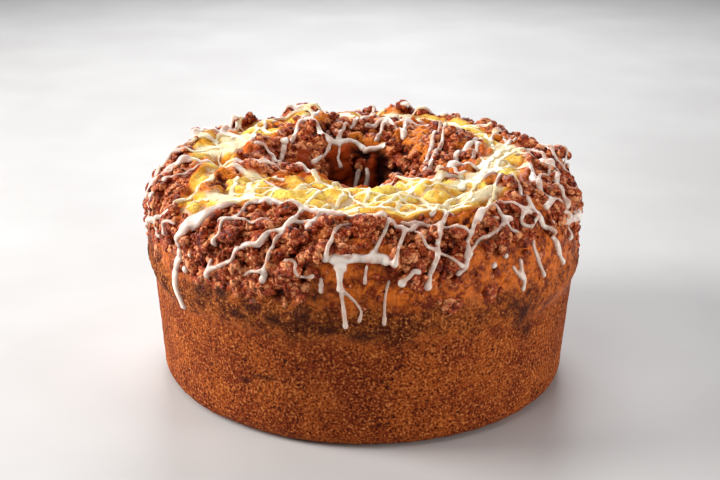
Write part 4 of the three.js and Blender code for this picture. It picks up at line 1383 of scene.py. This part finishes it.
def icing_material():
    """White icing that takes on the colour of what lies below it where it is thin or soaked up."""
    finish = Finish(
        "icing",
        IOR=1.46,
        Subsurface_Weight=0.35,
        Subsurface_Radius=(1.0, 0.75, 0.55),
        Subsurface_Scale=0.0025,
    )
    colour = finish.between(finish.noise(4, 2), 0.35, 0.7, ICING_COLOURS)
    below = finish.mix(finish.mask("torn"), STREUSEL_BELOW_ICING, CRUMB_BELOW_ICING)
    thin = finish.scaled(finish.rise(finish.mask("depth"), 1.8, 0.3), 0.0, 0.6)
    soaked = finish.times(finish.rise(finish.mask("depth"), 2.0, 0.5), finish.mask("torn"))
    thin = finish.most(thin, finish.scaled(soaked, 0.0, 0.6))
    colour = finish.mix(thin, colour, below)
    roughness = finish.scaled(finish.noise(3, 2), 0.2, 0.42)
    return finish.done(colour, roughness, finish.bump(finish.noise(1.6, 2), 0.15, 0.4))


def floor_material():
    finish = Finish("floor", IOR=1.4)
    colour = finish.between(finish.noise(120, 3), 0.3, 0.8, FLOOR_COLOURS)
    roughness = finish.scaled(finish.noise(30, 2), 0.42, 0.5)
    return finish.done(colour, roughness, finish.bump(finish.noise(2, 2), 0.02, 0.1))


# ---- camera, light and floor ----


def add_camera():
    """The camera at the photographed angle, with its small roll."""
    elevation, roll = math.radians(CAMERA_ELEVATION), math.radians(CAMERA_ROLL)
    place = Vector((0.0, -math.cos(elevation), math.sin(elevation))) * CAMERA_DISTANCE
    ahead = (Vector(CAMERA_TARGET) - place).normalized()
    level = ahead.cross(Vector((0, 0, 1))).normalized()
    upward = level.cross(ahead)
    right = math.cos(roll) * level + math.sin(roll) * upward
    top = math.cos(roll) * upward - math.sin(roll) * level
    lens = bpy.data.cameras.new("camera")
    lens.lens = CAMERA_LENS
    camera = linked("camera", lens)
    camera.matrix_world = Matrix((right, top, -ahead)).transposed().to_4x4()
    camera.location = place
    bpy.context.scene.camera = camera


def add_area_light(name, place, target, size, watts, colour):
    """A round light that shines at a target."""
    light = bpy.data.lights.new(name, "AREA")
    light.shape = "DISK"
    light.size = size
    light.energy = watts
    light.color = colour
    lamp = linked(name, light)
    lamp.location = place
    lamp.rotation_euler = (Vector(target) - Vector(place)).to_track_quat("-Z", "Y").to_euler()


def add_light():
    """Soft light from the left and behind, weaker ones from the right and above, and a pale world."""
    for light in LIGHTS:
        add_area_light(*light)
    world = bpy.data.worlds.new("world")
    world.use_nodes = True
    background = world.node_tree.nodes["Background"]
    background.inputs["Color"].default_value = WORLD_COLOUR
    background.inputs["Strength"].default_value = WORLD_STRENGTH
    bpy.context.scene.world = world
    bpy.context.scene.view_settings.view_transform = "Standard"


def add_floor():
    """A wide floor to stand on, which isn't part of the cake."""
    mesh = bpy.data.meshes.new("floor")
    half = FLOOR_SIZE / 2
    corners = [(-half, -half, 0), (half, -half, 0), (half, half, 0), (-half, half, 0)]
    mesh.from_pydata(corners, [], [(0, 1, 2, 3)])
    mesh.materials.append(floor_material())
    floor = linked("floor", mesh)


# ---- the scene ----

add_camera()
add_light()
add_floor()
cake_points, cake_faces, cake_masks = cake_mesh()
cake = add_object("cake_baked", cake_points, cake_faces, cake_masks, cake_material(), "crust")
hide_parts("cake")
crumbs = add_streusel(streusel_material())
add_icing([cake, *crumbs], icing_material())
